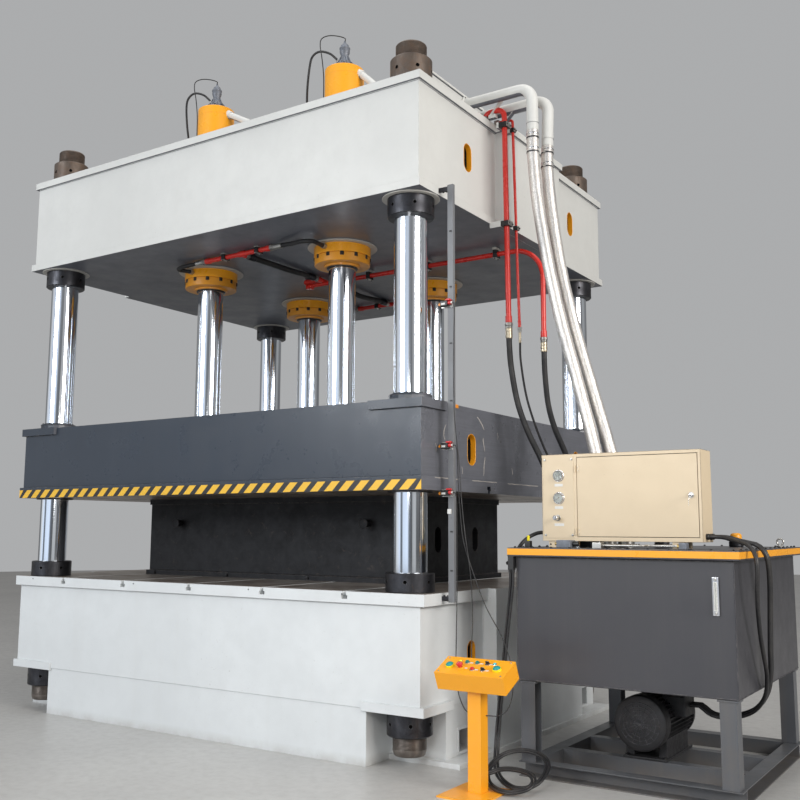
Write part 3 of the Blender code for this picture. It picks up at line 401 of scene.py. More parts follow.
class Shape:
    """Collects solids and becomes one piece."""

    def __init__(self, name):
        self.name, self.bm, self.mats = name, bmesh.new(), []

    def take(self, part, mat, matrix=None):
        if mat not in self.mats:
            self.mats.append(mat)
        if matrix is not None:
            bmesh.ops.transform(part, matrix=matrix, verts=part.verts)
        bmesh.ops.recalc_face_normals(part, faces=part.faces)
        index = self.mats.index(mat)
        for face in part.faces:
            face.material_index = index
            face.smooth = True
        scratch = bpy.data.meshes.new("scratch")
        part.to_mesh(scratch)
        part.free()
        self.bm.from_mesh(scratch)
        bpy.data.meshes.remove(scratch)
        return self

    def box(self, low, high, mat, edge=0.003, steps=2, matrix=None):
        low, high = Vector(low), Vector(high)
        part = bmesh.new()
        bmesh.ops.create_cube(part, size=1.0)
        bmesh.ops.scale(part, vec=high - low, verts=part.verts)
        bmesh.ops.translate(part, vec=(low + high) / 2, verts=part.verts)
        edge = min(edge, min(high - low) * 0.45)
        if edge > 0:
            bmesh.ops.bevel(part, geom=part.edges[:], offset=edge, segments=steps, profile=0.5, affect="EDGES")
        return self.take(part, mat, matrix)

    def lathe(self, profile, mat, seg=48, matrix=None):
        """A profile of (radius, z) turned about Z. One that doesn't start on the axis closes on itself."""
        part = bmesh.new()
        rings = []
        for r, z in profile:
            if r < 1e-6:
                rings.append([part.verts.new((0, 0, z))])
            else:
                rings.append([part.verts.new((r * math.cos(2 * math.pi * k / seg), r * math.sin(2 * math.pi * k / seg), z)) for k in range(seg)])
        pairs = list(zip(rings, rings[1:]))
        if profile[0][0] > 1e-6:
            pairs.append((rings[-1], rings[0]))
        for a, b in pairs:
            for k in range(seg):
                j = (k + 1) % seg
                if len(a) == 1 and len(b) == 1:
                    continue
                if len(a) == 1:
                    part.faces.new((a[0], b[k], b[j]))
                elif len(b) == 1:
                    part.faces.new((a[k], b[0], a[j]))
                else:
                    part.faces.new((a[k], b[k], b[j], a[j]))
        return self.take(part, mat, matrix)

    def drum(self, start, end, radius, mat, seg=32, edge=0.002, radius2=None):
        a, b = Vector(start), Vector(end)
        tall = (b - a).length
        r2 = radius if radius2 is None else radius2
        edge = min(edge, tall * 0.4, radius * 0.4, r2 * 0.4)
        profile = [(0, tall), (r2 - edge, tall), (r2, tall - edge), (radius, edge), (radius - edge, 0), (0, 0)]
        return self.lathe(profile, mat, seg, aim(a, b - a))

    def ring(self, at, along, outer, inner, tall, mat, seg=48, edge=0.002):
        profile = [(inner, tall), (outer - edge, tall), (outer, tall - edge), (outer, edge), (outer - edge, 0), (inner, 0)]
        return self.lathe(profile, mat, seg, aim(at, along))

    def tube(self, points, radius, mat, sides=14, caps=True):
        """A round tube along the points. radius is a number or a list with one for each point."""
        pts = [Vector(p) for p in points]
        radii = [radius] * len(pts) if isinstance(radius, (int, float)) else radius
        part = bmesh.new()
        ahead = [(pts[min(k + 1, len(pts) - 1)] - pts[max(k - 1, 0)]).normalized() for k in range(len(pts))]
        side = ahead[0].orthogonal().normalized()
        rows = []
        for k, p in enumerate(pts):
            side = (side - ahead[k] * side.dot(ahead[k])).normalized()
            other = ahead[k].cross(side)
            rows.append([part.verts.new(p + (side * math.cos(2 * math.pi * j / sides) + other * math.sin(2 * math.pi * j / sides)) * radii[k]) for j in range(sides)])
        for a, b in zip(rows, rows[1:]):
            for j in range(sides):
                i = (j + 1) % sides
                part.faces.new((a[j], a[i], b[i], b[j]))
        if caps:
            part.faces.new(rows[0][::-1])
            part.faces.new(rows[-1])
        return self.take(part, mat)

    def prism(self, outline, depth, mat, matrix=None, edge=0.0):
        """A flat outline in XY, pushed along Z."""
        part = bmesh.new()
        face = part.faces.new([part.verts.new((x, y, 0)) for x, y in outline])
        made = bmesh.ops.extrude_face_region(part, geom=[face])
        bmesh.ops.translate(part, vec=(0, 0, depth), verts=[v for v in made["geom"] if isinstance(v, bmesh.types.BMVert)])
        if edge:
            bmesh.ops.bevel(part, geom=part.edges[:], offset=edge, segments=2, profile=0.5, affect="EDGES")
        return self.take(part, mat, matrix)

    def hex(self, at, along, across, tall, mat, edge=None):
        part = bmesh.new()
        bmesh.ops.create_cone(part, cap_ends=True, segments=6, radius1=across / math.sqrt(3), radius2=across / math.sqrt(3), depth=tall)
        bmesh.ops.translate(part, vec=(0, 0, tall / 2), verts=part.verts)
        bmesh.ops.bevel(part, geom=part.edges[:], offset=across * 0.05 if edge is None else edge, segments=2, profile=0.5, affect="EDGES")
        return self.take(part, mat, aim(at, along))

    def bolt(self, at, along, size, mat, socket=False, washer=True):
        """A bolt head of thread size `size`, standing on a face at a point."""
        at, along = Vector(at), Vector(along).normalized()
        if washer:
            self.ring(at, along, size * 1.05, size * 0.3, size * 0.16, mat, seg=20, edge=size * 0.03)
            at = at + along * size * 0.16
        if socket:
            s, h = size, size
            self.lathe([(0, h * 0.45), (s * 0.42, h * 0.45), (s * 0.42, h), (s * 0.70, h), (s * 0.76, h * 0.93), (s * 0.76, 0), (0, 0)], mat, 18, aim(at, along))
        else:
            self.hex(at, along, size * 1.6, size * 0.66, mat)
            self.drum(at + along * size * 0.6, at + along * size * 0.95, size * 0.5, mat, 14, size * 0.08)
        return self

    def weld(self, start, end, size, mat, pitch=0.012):
        """A fillet bead with its ripples."""
        a, b = Vector(start), Vector(end)
        count = max(4, int((b - a).length / pitch) * 2)
        points, radii = [], []
        drift = RNG.random() * 6
        for k in range(count + 1):
            t = k / count
            wave = 1.0 if k % 2 == 0 else 0.80
            radii.append(size * wave * (1 + 0.10 * math.sin(k * 0.21 + drift) + 0.05 * (RNG.random() - 0.5)))
            points.append(a.lerp(b, t))
        radii[0] = radii[-1] = size * 0.4
        return self.tube(points, radii, mat, sides=6)

    def done(self, body="frame", slot=None, replaces=(), at=None, angle=35, weighted=True):
        mesh = bpy.data.meshes.new(self.name)
        self.bm.to_mesh(mesh)
        self.bm.free()
        for mat in self.mats:
            mesh.materials.append(mat)
        mesh.set_sharp_from_angle(angle=math.radians(angle))
        return place(self.name, mesh, body, replaces, at, weighted)


def place(name, mesh, body, replaces=(), at=None, weighted=True):
    obj = bpy.data.objects.new(name, mesh)
    if at is not None:
        obj.location = at
    PIECES.objects.link(obj)
    if weighted:
        tidy = obj.modifiers.new("normals", "WEIGHTED_NORMAL")
        tidy.keep_sharp = True
    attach(obj, body)
    if replaces:
        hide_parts(*replaces)
    return obj


def pierced(shape, cutter, inside):
    """The shape's mesh with the cutter's solids taken out. The walls of the holes take the cutter's materials; the
    inside argument is not used.
    """
    def bare(s):
        mesh = bpy.data.meshes.new("cut")
        s.bm.to_mesh(mesh)
        s.bm.free()
        obj = bpy.data.objects.new("cut", mesh)
        SCENE.collection.objects.link(obj)
        for mat in s.mats:
            mesh.materials.append(mat)
        return obj
    body, tool = bare(shape), bare(cutter)
    step = body.modifiers.new("cut", "BOOLEAN")
    step.operation, step.solver, step.object = "DIFFERENCE", "EXACT", tool
    step.material_mode = "TRANSFER"
    bpy.context.view_layer.update()
    graph = bpy.context.evaluated_depsgraph_get()
    mesh = bpy.data.meshes.new_from_object(body.evaluated_get(graph))
    mesh.name = shape.name
    for obj in (body, tool):
        bpy.data.objects.remove(obj, do_unlink=True)
    for poly in mesh.polygons:
        poly.use_smooth = True
    mesh.set_sharp_from_angle(angle=math.radians(35))
    return mesh


def smooth_route(points, spacing):
    """A curve through the points (Catmull-Rom), about spacing apart, with its first and last runs straight."""
    pts = [Vector(p) for p in points]
    fine = []
    for i in range(1, len(pts) - 2):
        for k in range(24):
            t = k / 24
            a, b, c, d = pts[i - 1 : i + 3]
            fine.append(0.5 * (2 * b + (c - a) * t + (2 * a - 5 * b + 4 * c - d) * t**2 + (3 * b - a - 3 * c + d) * t**3))
    fine.append(pts[-2])
    length = [0.0]
    for a, b in zip(fine, fine[1:]):
        length.append(length[-1] + (b - a).length)
    count = max(2, round(length[-1] / spacing))
    out, j = [pts[0]], 0
    for k in range(count + 1):
        want = length[-1] * k / count
        while j < len(fine) - 2 and length[j + 1] < want:
            j += 1
        span = length[j + 1] - length[j]
        out.append(fine[j].lerp(fine[j + 1], 0 if span == 0 else min(1, (want - length[j]) / span)))
    return out + [pts[-1]]


def piped(points, bend, steps=10):
    """Straight runs with round bends of the given radius at each corner."""
    pts = [Vector(p) for p in points]
    out = [pts[0]]
    for a, b, c in zip(pts, pts[1:], pts[2:]):
        into, away = (a - b).normalized(), (c - b).normalized()
        half = into.angle(away) / 2
        back = bend / math.tan(half)
        middle = b + (into + away).normalized() * bend / math.sin(half)
        start, end = b + into * back - middle, b + away * back - middle
        for k in range(steps + 1):
            out.append(middle + start.slerp(end, k / steps).normalized() * bend)
    return out + [pts[-1]]


def cord(name, points, diameter, mat, replaces=(), slot="black_rubber", sides=14, radii=None):
    """A free cable or hose: a tube along its points."""
    shape = Shape(name)
    shape.tube(points, radii or diameter / 2, mat, sides=sides)
    obj = shape.done("frame", slot, replaces, weighted=False, angle=60)
    return obj


def finish_node(name, mat, edge=0.0):
    """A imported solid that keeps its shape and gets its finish."""
    obj = NODES[name]
    obj.data.materials.clear()
    obj.data.materials.append(mat)
    if edge:
        soft = obj.modifiers.new("edges", "BEVEL")
        soft.width, soft.segments, soft.limit_method, soft.angle_limit = edge, 2, "ANGLE", math.radians(50)
        soft.use_clamp_overlap = True
        soft.harden_normals = False
    return obj


# ================================================================ press frame: bed, crown, slide, bolster
GAP = 0.0003
COL_X, COL_Y, COL_R = 1.917, 1.458, 0.120
BED_Z, SPOT_Z = 1.150, 1.149
CROWN_LOW, CROWN_TOP = 3.934, 4.779
SLIDE_LOW, SLIDE_TOP = 1.838, 2.455
CYL_X, CYL_Y, CYL_R = 0.761, 0.731, 0.170

finish_node("bed", BED_WHITE)
finish_node("crown", WHITE)
finish_node("slide", SLIDE_BLUE)
finish_node("bolster", BLOCK)


def oval_ring(shape, sx, face, y, z, half_wide, half_high, depth, wall, mat, start=None):
    """The painted lining of a hand hole in a side plate, with a rounded lip."""
    def outline(w, h):
        pts = []
        for k in range(17):
            a = math.pi * k / 16
            pts.append((w * math.cos(a), h - w + w * math.sin(a)))
        for k in range(17):
            a = math.pi + math.pi * k / 16
            pts.append((w * math.cos(a), -(h - w) + w * math.sin(a)))
        return pts
    part = bmesh.new()
    rows = []
    lip = ((half_wide - wall, half_high - wall, depth), (half_wide - wall, half_high - wall, -0.0005), (half_wide - wall * 0.5, half_high - wall * 0.5, -0.0022),
           (half_wide - 0.0006, half_high - 0.0006, -0.0010), (half_wide - 0.0006, half_high - 0.0006, depth))
    if start is not None:
        lip = ((half_wide - wall, half_high - wall, depth), (half_wide - wall, half_high - wall, start), (half_wide - 0.0006, half_high - 0.0006, start), (half_wide - 0.0006, half_high - 0.0006, depth))
    for w, h, d in lip:
        rows.append([part.verts.new((sx * (face - d), y + u, z + v)) for u, v in outline(w, h)])
    rows.append(rows[0])
    for a, b in zip(rows, rows[1:]):
        for k in range(len(a)):
            j = (k + 1) % len(a)
            part.faces.new((a[k], b[k], b[j], a[j]))
    shape.take(part, mat)


linings = {"bed": (2.105, 0.945, 0.682, 0.058, 0.112, "frame", "yellow_paint"), "crown": (2.107, 0.960, 4.370, 0.060, 0.112, "frame", "yellow_paint"),
           "slide": (2.123, 0.955, 2.150, 0.063, 0.116, "slide", "yellow_paint")}
for key, (face, y, z, w, h, body, slot) in linings.items():
    shape = Shape(key + "_hand_hole_linings")
    for sx, sy in CORNERS.values():
        oval_ring(shape, sx, face, sy * y, z, w, h, 0.040, 0.005, YELLOW)
        # a black ring further in, behind the yellow edge: painted shade of the dark chamber
        oval_ring(shape, sx, face, sy * y, z, w, h, 0.110, 0.004, HOLE_SHADE, 0.0402)
    shape.done(body, slot, angle=50)

# ---- weld beads of the crown
beads = Shape("crown_weld_beads")
for s in (-1, 1):
    for z in (3.9945, 4.7185):
        beads.weld((-2.105, s * 1.6565, z), (2.105, s * 1.6565, z), 0.006, WHITE)
        beads.weld((s * 2.1075, -1.654, z), (s * 2.1075, -0.512, z), 0.006, WHITE)
        beads.weld((s * 2.1075, 0.512, z), (s * 2.1075, 1.654, z), 0.006, WHITE)
    for y in (-0.5105, 0.5105):
        beads.weld((s * 2.1075, y, 3.996), (s * 2.1075, y, 4.718), 0.006, WHITE)
    beads.weld((s * 2.2065, -0.508, 4.7205), (s * 2.2065, 0.508, 4.7205), 0.005, WHITE)
beads.done("frame", "white_paint", weighted=False, angle=80)

# pale rings under the crown, round the cylinder flanges and the collars
pads = Shape("crown_underside_rings")
for sx, sy in CORNERS.values():
    pads.lathe([(0.241, 3.9338), (0.292, 3.9338), (0.295, 3.931), (0.295, 3.925), (0.291, 3.9215), (0.241, 3.9215)], PALE, 72, Matrix.Translation((sx * CYL_X, sy * CYL_Y, 0)))
    pads.lathe([(0.171, 3.9338), (0.206, 3.9338), (0.209, 3.931), (0.209, 3.927), (0.206, 3.9245), (0.171, 3.9245)], PALE, 72, Matrix.Translation((sx * COL_X, sy * COL_Y, 0)))
pads.done("frame", "white_paint")

# ---- bed: beads, frames of the jack holes, small parts at the table's edge
beads = Shape("bed_weld_beads")
for s in (-1, 1):
    beads.weld((-2.10, s * 1.6255, 1.0695), (2.10, s * 1.6255, 1.0695), 0.006, BED_WHITE)
    beads.weld((s * 2.1055, -1.62, 1.0695), (s * 2.1055, -0.768, 1.0695), 0.006, BED_WHITE)
    beads.weld((s * 2.1055, 0.768, 1.0695), (s * 2.1055, 1.62, 1.0695), 0.006, BED_WHITE)
    for y in (-0.7675, 0.7675):
        beads.weld((s * 2.1055, y, 0.385), (s * 2.1055, y, 1.068), 0.006, BED_WHITE)
    for x in (-1.889, 1.889):
        beads.weld((x - 0.212, s * 1.6255, 0.4265), (x + 0.212, s * 1.6255, 0.4265), 0.004, BED_WHITE)
beads.done("frame", "white_paint", weighted=False, angle=80)

jack = Shape("bed_jack_hole_frames")
for sx, sy in CORNERS.values():
    x, y0, y1 = sx * 2.1005, sy * 0.90, sy * 1.125
    lo, hi = min(y0, y1), max(y0, y1)
    for a, b, c, d in ((lo - 0.014, hi + 0.014, 0.205, 0.219), (lo - 0.014, hi + 0.014, 0.046, 0.060), (lo - 0.014, lo, 0.060, 0.205), (hi, hi + 0.014, 0.060, 0.205)):
        jack.box((min(x, x + sx * 0.008), a, c), (max(x, x + sx * 0.008), b, d), BED_WHITE, 0.002)
# black plates at the back of the jack holes: painted shade inside them
for sx, sy in CORNERS.values():
    lo, hi = sorted((sy * 0.9015, sy * 1.1235))
    x = sorted((sx * 1.9515, sx * 1.9540))
    jack.box((x[0], lo, 0.0615), (x[1], hi, 0.2035), HOLE_SHADE, 0.0)
jack.done("frame", "white_paint")

edge = Shape("table_edge_fittings")
edge.box((2.1503, -1.357, 1.098), (2.158, -1.249, 1.122), BLACKED, 0.002)
edge.box((2.1503, -1.357, 1.098), (2.182, -1.340, 1.122), BLACKED, 0.002)
edge.bolt((2.158, -1.275, 1.110), (1, 0, 0), 0.008, BOLT)
# flat black discs on the table's front edge: painted shade of small holes
edge.drum((1.482, -1.6505, 1.129), (1.482, -1.6530, 1.129), 0.006, HOLE_SHADE, 20, 0.0004)
for x in (-1.91, -0.62, 0.62):
    edge.drum((x, -1.6505, 1.129), (x, -1.6525, 1.129), 0.005, HOLE_SHADE, 20, 0.0004)
edge.done("frame", "blacked_steel")

# ---- bolster: cover plates, lifting pins and beads
trim = Shape("bolster_fittings")
for s in (-1, 1):
    trim.weld((-1.448, s * 0.7255, 1.1915), (1.448, s * 0.7255, 1.1915), 0.007, BLOCK, 0.014)
    trim.weld((-1.448, s * 0.7255, 1.7920), (1.448, s * 0.7255, 1.7920), 0.006, BLOCK, 0.014)
    trim.weld((s * 1.4505, -0.72, 1.1915), (s * 1.4505, 0.72, 1.1915), 0.006, BLOCK, 0.014)
    for x in (-1.05, 1.05):
        trim.drum((x, s * 0.7245, 1.62), (x, s * 0.795, 1.62), 0.030, BLOCK, 28, 0.004)
        trim.drum((x, s * 0.795, 1.62), (x, s * 0.807, 1.62), 0.044, BLOCK, 28, 0.004)
    for x in (-1.36, -0.45, 0.45, 1.36):
        trim.bolt((x, s * 0.7455, 1.171), (0, s, 0), 0.016, BOLT)
trim.done("frame", "dark_steel", angle=50)

# ---- slide: stripes, bead, guide plates, wipers
FRONT = -1.6703
stripes = Shape("slide_hazard_stripes")
stripes.box((-2.1405, FRONT - 0.0006, 1.8384), (2.1405, FRONT, 1.9080), STRIPE_BLACK, 0.0)
low, tall, wide = 1.8388, 0.0688, 0.071
k = -40
while k < 6:
    x = 1.709 + k * 0.127
    outline = []
    for u, v in ((x, 0.0), (x + wide, 0.0), (x + wide + tall, tall), (x + tall, tall)):
        outline.append([u, v])
    clipped = [(max(-2.1400, min(2.1400, u)), v) for u, v in outline]
    if clipped[1][0] - clipped[0][0] > 0.004 or clipped[2][0] - clipped[3][0] > 0.004:
        kept = []
        for p in clipped:
            if not kept or (abs(p[0] - kept[-1][0]) + abs(p[1] - kept[-1][1])) > 1e-4:
                kept.append(p)
        if len(kept) > 2:
            at = Matrix.Translation((0, FRONT - 0.0007, low)) @ Matrix.Rotation(math.pi / 2, 4, "X")
            stripes.prism(kept, 0.0006, STRIPE_YELLOW, at)
    k += 1
stripes.done("slide", "yellow_paint", weighted=False)

trim = Shape("slide_weld_beads")
for s in (-1, 1):
    trim.weld((-2.12, s * 1.6455, 1.9305), (2.12, s * 1.6455, 1.9305), 0.007, SLIDE_BLUE)
    trim.weld((s * 2.1235, -1.64, 1.9305), (s * 2.1235, 1.64, 1.9305), 0.007, SLIDE_BLUE)
trim.done("slide", "blue_grey_paint", weighted=False, angle=80)

guides = Shape("slide_guide_fittings")
for sx, sy in CORNERS.values():
    c = Vector((sx * COL_X, sy * COL_Y, 0))
    at = Matrix.Translation(c)
    # wiper housing with its bolts, and the dark lip seal on the chrome
    guides.lathe([(0.1225, 2.5075), (0.147, 2.5075), (0.150, 2.5045), (0.1545, 2.498), (0.1545, 2.4955), (0.1225, 2.4955)], SLIDE_BLUE, 64, at)
    guides.lathe([(0.1203, 2.5145), (0.1260, 2.5140), (0.1290, 2.5075), (0.1203, 2.5075)], BLACK_CAP, 64, at)
    for j in range(8):
        a = math.radians(22.5 + 45 * j)
        guides.bolt(c + Vector((0.138 * math.cos(a), 0.138 * math.sin(a), 2.5075)), (0, 0, 1), 0.008, BOLT, socket=True, washer=False)
    # lower wiper
    guides.lathe([(0.1225, 1.8375), (0.158, 1.8375), (0.158, 1.8295), (0.155, 1.8265), (0.1225, 1.8265)], BLACKED, 64, at)
guides.done("slide", "blacked_steel")

marks = Shape("slide_bared_marks")


def mark(points, width, x):
    """A chip or scratch down to the primer, on the slide's right face."""
    left, rightward = [], []
    for k, (y, z) in enumerate(points):
        w = width * (0.35 + 0.65 * math.sin(math.pi * (k + 0.5) / len(points))) * (0.6 + 0.7 * RNG.random())
        left.append((y - w / 2, z))
        rightward.append((y + w / 2, z + 0.002 * RNG.random()))
    at = Matrix(((0, 0, 1, x), (1, 0, 0, 0), (0, 1, 0, 0), (0, 0, 0, 1)))
    marks.prism(left + rightward[::-1], 0.0005, PRIMER, at)


def dense(points, n):
    out = []
    for (a, b), (c, d) in zip(points, points[1:]):
        for k in range(n):
            t = k / n
            out.append((a + (c - a) * t + 0.003 * (RNG.random() - 0.5), b + (d - b) * t))
    return out + [points[-1]]


mark(dense([(-0.868, 2.398), (-0.835, 2.380), (-0.807, 2.360), (-0.780, 2.335), (-0.761, 2.311)], 4), 0.013, 2.1232)
mark(dense([(-0.772, 2.250), (-0.778, 2.235), (-0.763, 2.184), (-0.752, 2.150)], 4), 0.009, 2.1232)
mark(dense([(-0.749, 2.110), (-0.757, 2.075), (-0.766, 2.042), (-0.768, 1.990), (-0.775, 1.968)], 4), 0.012, 2.1232)
mark(dense([(-1.32, 2.300), (-1.345, 2.262), (-1.350, 2.225), (-1.335, 2.190)], 4), 0.010, 2.1232)
for y, z, w in ((-0.55, 2.31, 0.006), (-0.31, 2.05, 0.008), (0.42, 2.22, 0.007), (-1.10, 2.02, 0.006), (-1.46, 2.16, 0.007)):
    mark(dense([(y, z), (y + 0.012, z - 0.03), (y + 0.006, z - 0.055)], 3), w, 2.1232)
for y0, y1 in ((-1.50, -1.18), (-0.98, -0.60), (-0.42, 0.12), (0.40, 0.92)):
    mark_pts = [(y0 + (y1 - y0) * k / 14, 1.9262 + 0.0022 * RNG.random()) for k in range(15)]
    lower = [(y, z - 0.004 - 0.003 * RNG.random()) for y, z in mark_pts]
    marks.prism(mark_pts + lower[::-1], 0.0005, PRIMER, Matrix(((0, 0, 1, 2.1412), (1, 0, 0, 0), (0, 1, 0, 0), (0, 0, 0, 1))))
# a flat black disc on the slide's side: painted shade of a bolt hole
marks.drum((2.1412, -0.708, 1.866), (2.1420, -0.708, 1.866), 0.011, HOLE_SHADE, 20, 0.0002)
marks.box((2.1467, -1.24, 2.426), (2.1505, -1.19, 2.452), ORANGE_CAP, 0.001)
marks.done("slide", "blue_grey_paint", weighted=False)

# ================================================================ columns, collars and nuts
# the hole cutters below are black, so the spanner holes in the collars and nuts get black walls: painted shade inside
# them
collar = Shape("collar_mesh")
collar.lathe([(0.1205, 0.1487), (0.164, 0.1487), (0.170, 0.1427), (0.170, 0.006), (0.164, 0.0), (0.1205, 0.0)], BLACKED, 96)
holes = Shape("collar_holes")
for k in range(6):
    a = math.radians(-60 + 60 * k + 12)
    out = Vector((math.cos(a), math.sin(a), 0))
    holes.drum(out * 0.138 + Vector((0, 0, 0.074)), out * 0.19 + Vector((0, 0, 0.074)), 0.0125, HOLE_SHADE, 24, 0.0)
upper_collar_mesh = pierced(collar, holes, HOLE_SHADE)

collar = Shape("table_collar_mesh")
collar.lathe([(0.1202, 1.2810), (0.164, 1.2810), (0.170, 1.2750), (0.170, 1.1555), (0.165, 1.1495), (0.1202, 1.1495)], BLACKED, 96)
holes = Shape("table_collar_holes")
for k in range(6):
    a = math.radians(-60 + 60 * k - 9)
    out = Vector((math.cos(a), math.sin(a), 0))
    holes.drum(out * 0.138 + Vector((0, 0, 1.222)), out * 0.19 + Vector((0, 0, 1.222)), 0.0125, HOLE_SHADE, 24, 0.0)
lower_collar_mesh = pierced(collar, holes, HOLE_SHADE)

nut = Shape("top_nut_mesh")
nut.lathe([(0.1155, 4.979), (0.147, 4.979), (0.155, 4.971), (0.155, 4.7875), (0.150, 4.7795), (0.1155, 4.7795)], RUSTY, 96)
holes = Shape("top_nut_holes")
for k in range(6):
    a = math.radians(60 * k + 20)
    out = Vector((math.cos(a), math.sin(a), 0))
    holes.drum(out * 0.128 + Vector((0, 0, 4.885)), out * 0.17 + Vector((0, 0, 4.885)), 0.014, HOLE_SHADE, 24, 0.0)
top_nut_mesh = pierced(nut, holes, HOLE_SHADE)

nut = Shape("bottom_nut_mesh")
nut.lathe([(0.1155, 0.3625), (0.149, 0.3625), (0.155, 0.3565), (0.155, 0.216), (0.147, 0.208), (0.1155, 0.208)], BLACKED, 96)
holes = Shape("bottom_nut_holes")
for k in range(6):
    a = math.radians(60 * k + 5)
    out = Vector((math.cos(a), math.sin(a), 0))
    holes.drum(out * 0.128 + Vector((0, 0, 0.29)), out * 0.17 + Vector((0, 0, 0.29)), 0.013, HOLE_SHADE, 24, 0.0)
bottom_nut_mesh = pierced(nut, holes, HOLE_SHADE)

column = Shape("column_mesh")


def threaded(high, low, outer, pitch=0.008, depth=0.0035):
    """A threaded stretch as a profile, from high to low."""
    pts, z = [], high
    while z - pitch > low:
        pts += [(outer, z), (outer, z - pitch * 0.25), (outer - depth, z - pitch * 0.55), (outer - depth, z - pitch * 0.70)]
        z -= pitch
    return pts + [(outer, z)]


column.lathe([(0, 5.105), (0.030, 5.105), (0.032, 5.100), (0.106, 5.100), (0.113, 5.093)] + threaded(5.088, 4.735, 0.115) + [(0.115, 4.729), (0, 4.729)], RUSTY, 80)
column.lathe([(0, 4.7288), (0.118, 4.7288), (0.120, 4.7265)] + [(0.120, 4.7205 - 0.3066 * k) for k in range(15)] + [(0.120, 0.4225), (0.118, 0.4205), (0, 0.4205)], CHROME, 128)
column.lathe([(0, 0.420), (0.115, 0.420)] + threaded(0.415, 0.120, 0.115) + [(0.115, 0.112), (0.107, 0.086), (0.100, 0.080), (0.034, 0.080), (0.028, 0.090), (0, 0.090)], BARE, 80)
column_piece = column.done("frame", "hard_chrome", ["column_front_left"], at=(-COL_X, -COL_Y, 0), angle=40)
column_piece.name = "column_shaft_front_left"
for key, (sx, sy) in CORNERS.items():
    at = (sx * COL_X, sy * COL_Y, 0)
    if key != "front_left":
        place("column_shaft_" + key, column_piece.data, "frame", ["column_" + key], at)
    place("table_collar_" + key, lower_collar_mesh, "frame", (), at)
    place("crown_collar_" + key, upper_collar_mesh, "frame", ["upper_collar_" + key], (at[0], at[1], 3.785))
    place("crown_nut_" + key, top_nut_mesh, "frame", ["top_nut_" + key], at)
    place("foot_nut_" + key, bottom_nut_mesh, "frame", ["bottom_nut_" + key], at)

# ================================================================ cylinders, glands and rods
barrel = Shape("cylinder_mesh")
barrel.lathe([(0, 5.520), (0.160, 5.520), (0.166, 5.517), (0.170, 5.511), (0.170, 5.446), (0.1685, 5.4445), (0.1685, 5.4415), (0.170, 5.440), (0.170, 3.9345), (0.236, 3.9345),
              (0.240, 3.9305), (0.240, 3.8488), (0.2375, 3.8455), (0.140, 3.8455), (0.140, 5.428), (0, 5.428)], YELLOW, 112)
for k in range(12):
    a = math.radians(30 * k + 15)
    barrel.bolt((0.128 * math.cos(a), 0.128 * math.sin(a), 5.520), (0, 0, 1), 0.014, BOLT, socket=True, washer=False)
# cast filling valve: flange, ribbed skirt, neck, body and cap
barrel.lathe([(0, 5.560), (0.078, 5.560), (0.090, 5.556), (0.094, 5.550), (0.094, 5.524), (0.090, 5.520), (0, 5.520)], CAST_GREY, 64)
barrel.lathe([(0, 5.655), (0.036, 5.655), (0.034, 5.640), (0.037, 5.622), (0.048, 5.600), (0.060, 5.580), (0.070, 5.562), (0.070, 5.556), (0, 5.556)], CAST_GREY, 64)
for k in range(8):
    a = math.radians(45 * k + 10)
    turn = Matrix.Rotation(a, 4, "Z") @ Matrix(((1, 0, 0, 0), (0, 0, 1, -0.004), (0, 1, 0, 0), (0, 0, 0, 1)))
    barrel.prism([(0.030, 5.556), (0.090, 5.558), (0.088, 5.572), (0.058, 5.603), (0.044, 5.640), (0.030, 5.645)], 0.008, CAST_GREY, turn, 0.0015)
    a += math.radians(22.5)
    barrel.bolt((0.080 * math.cos(a), 0.080 * math.sin(a), 5.560), (0, 0, 1), 0.010, BOLT, washer=False)
barrel.lathe([(0, 5.800), (0.007, 5.799), (0.009, 5.794), (0.009, 5.782), (0.014, 5.780), (0.014, 5.772), (0.026, 5.766), (0.034, 5.755), (0.037, 5.738), (0.045, 5.734), (0.047, 5.728), (0.047, 5.722),
              (0.043, 5.717), (0.045, 5.700), (0.042, 5.682), (0.035, 5.668), (0.033, 5.652), (0, 5.652)], CAST_GREY, 56)
barrel.hex((0, 0, 5.766), (0, 0, 1), 0.026, 0.010, CAST_GREY)
# pilot elbow with its brass nut
barrel.tube(piped([(-0.054, -0.009, 5.570), (-0.054, -0.009, 5.612), (-0.070, -0.012, 5.634)], 0.012, 6), 0.0085, ZINC, 14)
barrel.hex((-0.054, -0.009, 5.572), (0, 0, 1), 0.030, 0.022, BRASS)
barrel.hex((-0.0595, -0.0100, 5.6205), (-0.58, -0.10, 0.80), 0.024, 0.016, ZINC)
# oil connection in the barrel's side
barrel.drum((0.150, 0.0, 5.462), (0.192, 0.0, 5.436), 0.037, WHITE, 32, 0.004)
barrel_piece = barrel.done("frame", "yellow_paint", ["cylinder_front_left"], at=(-CYL_X, -CYL_Y, 0))
barrel_piece.name = "press_cylinder_front_left"

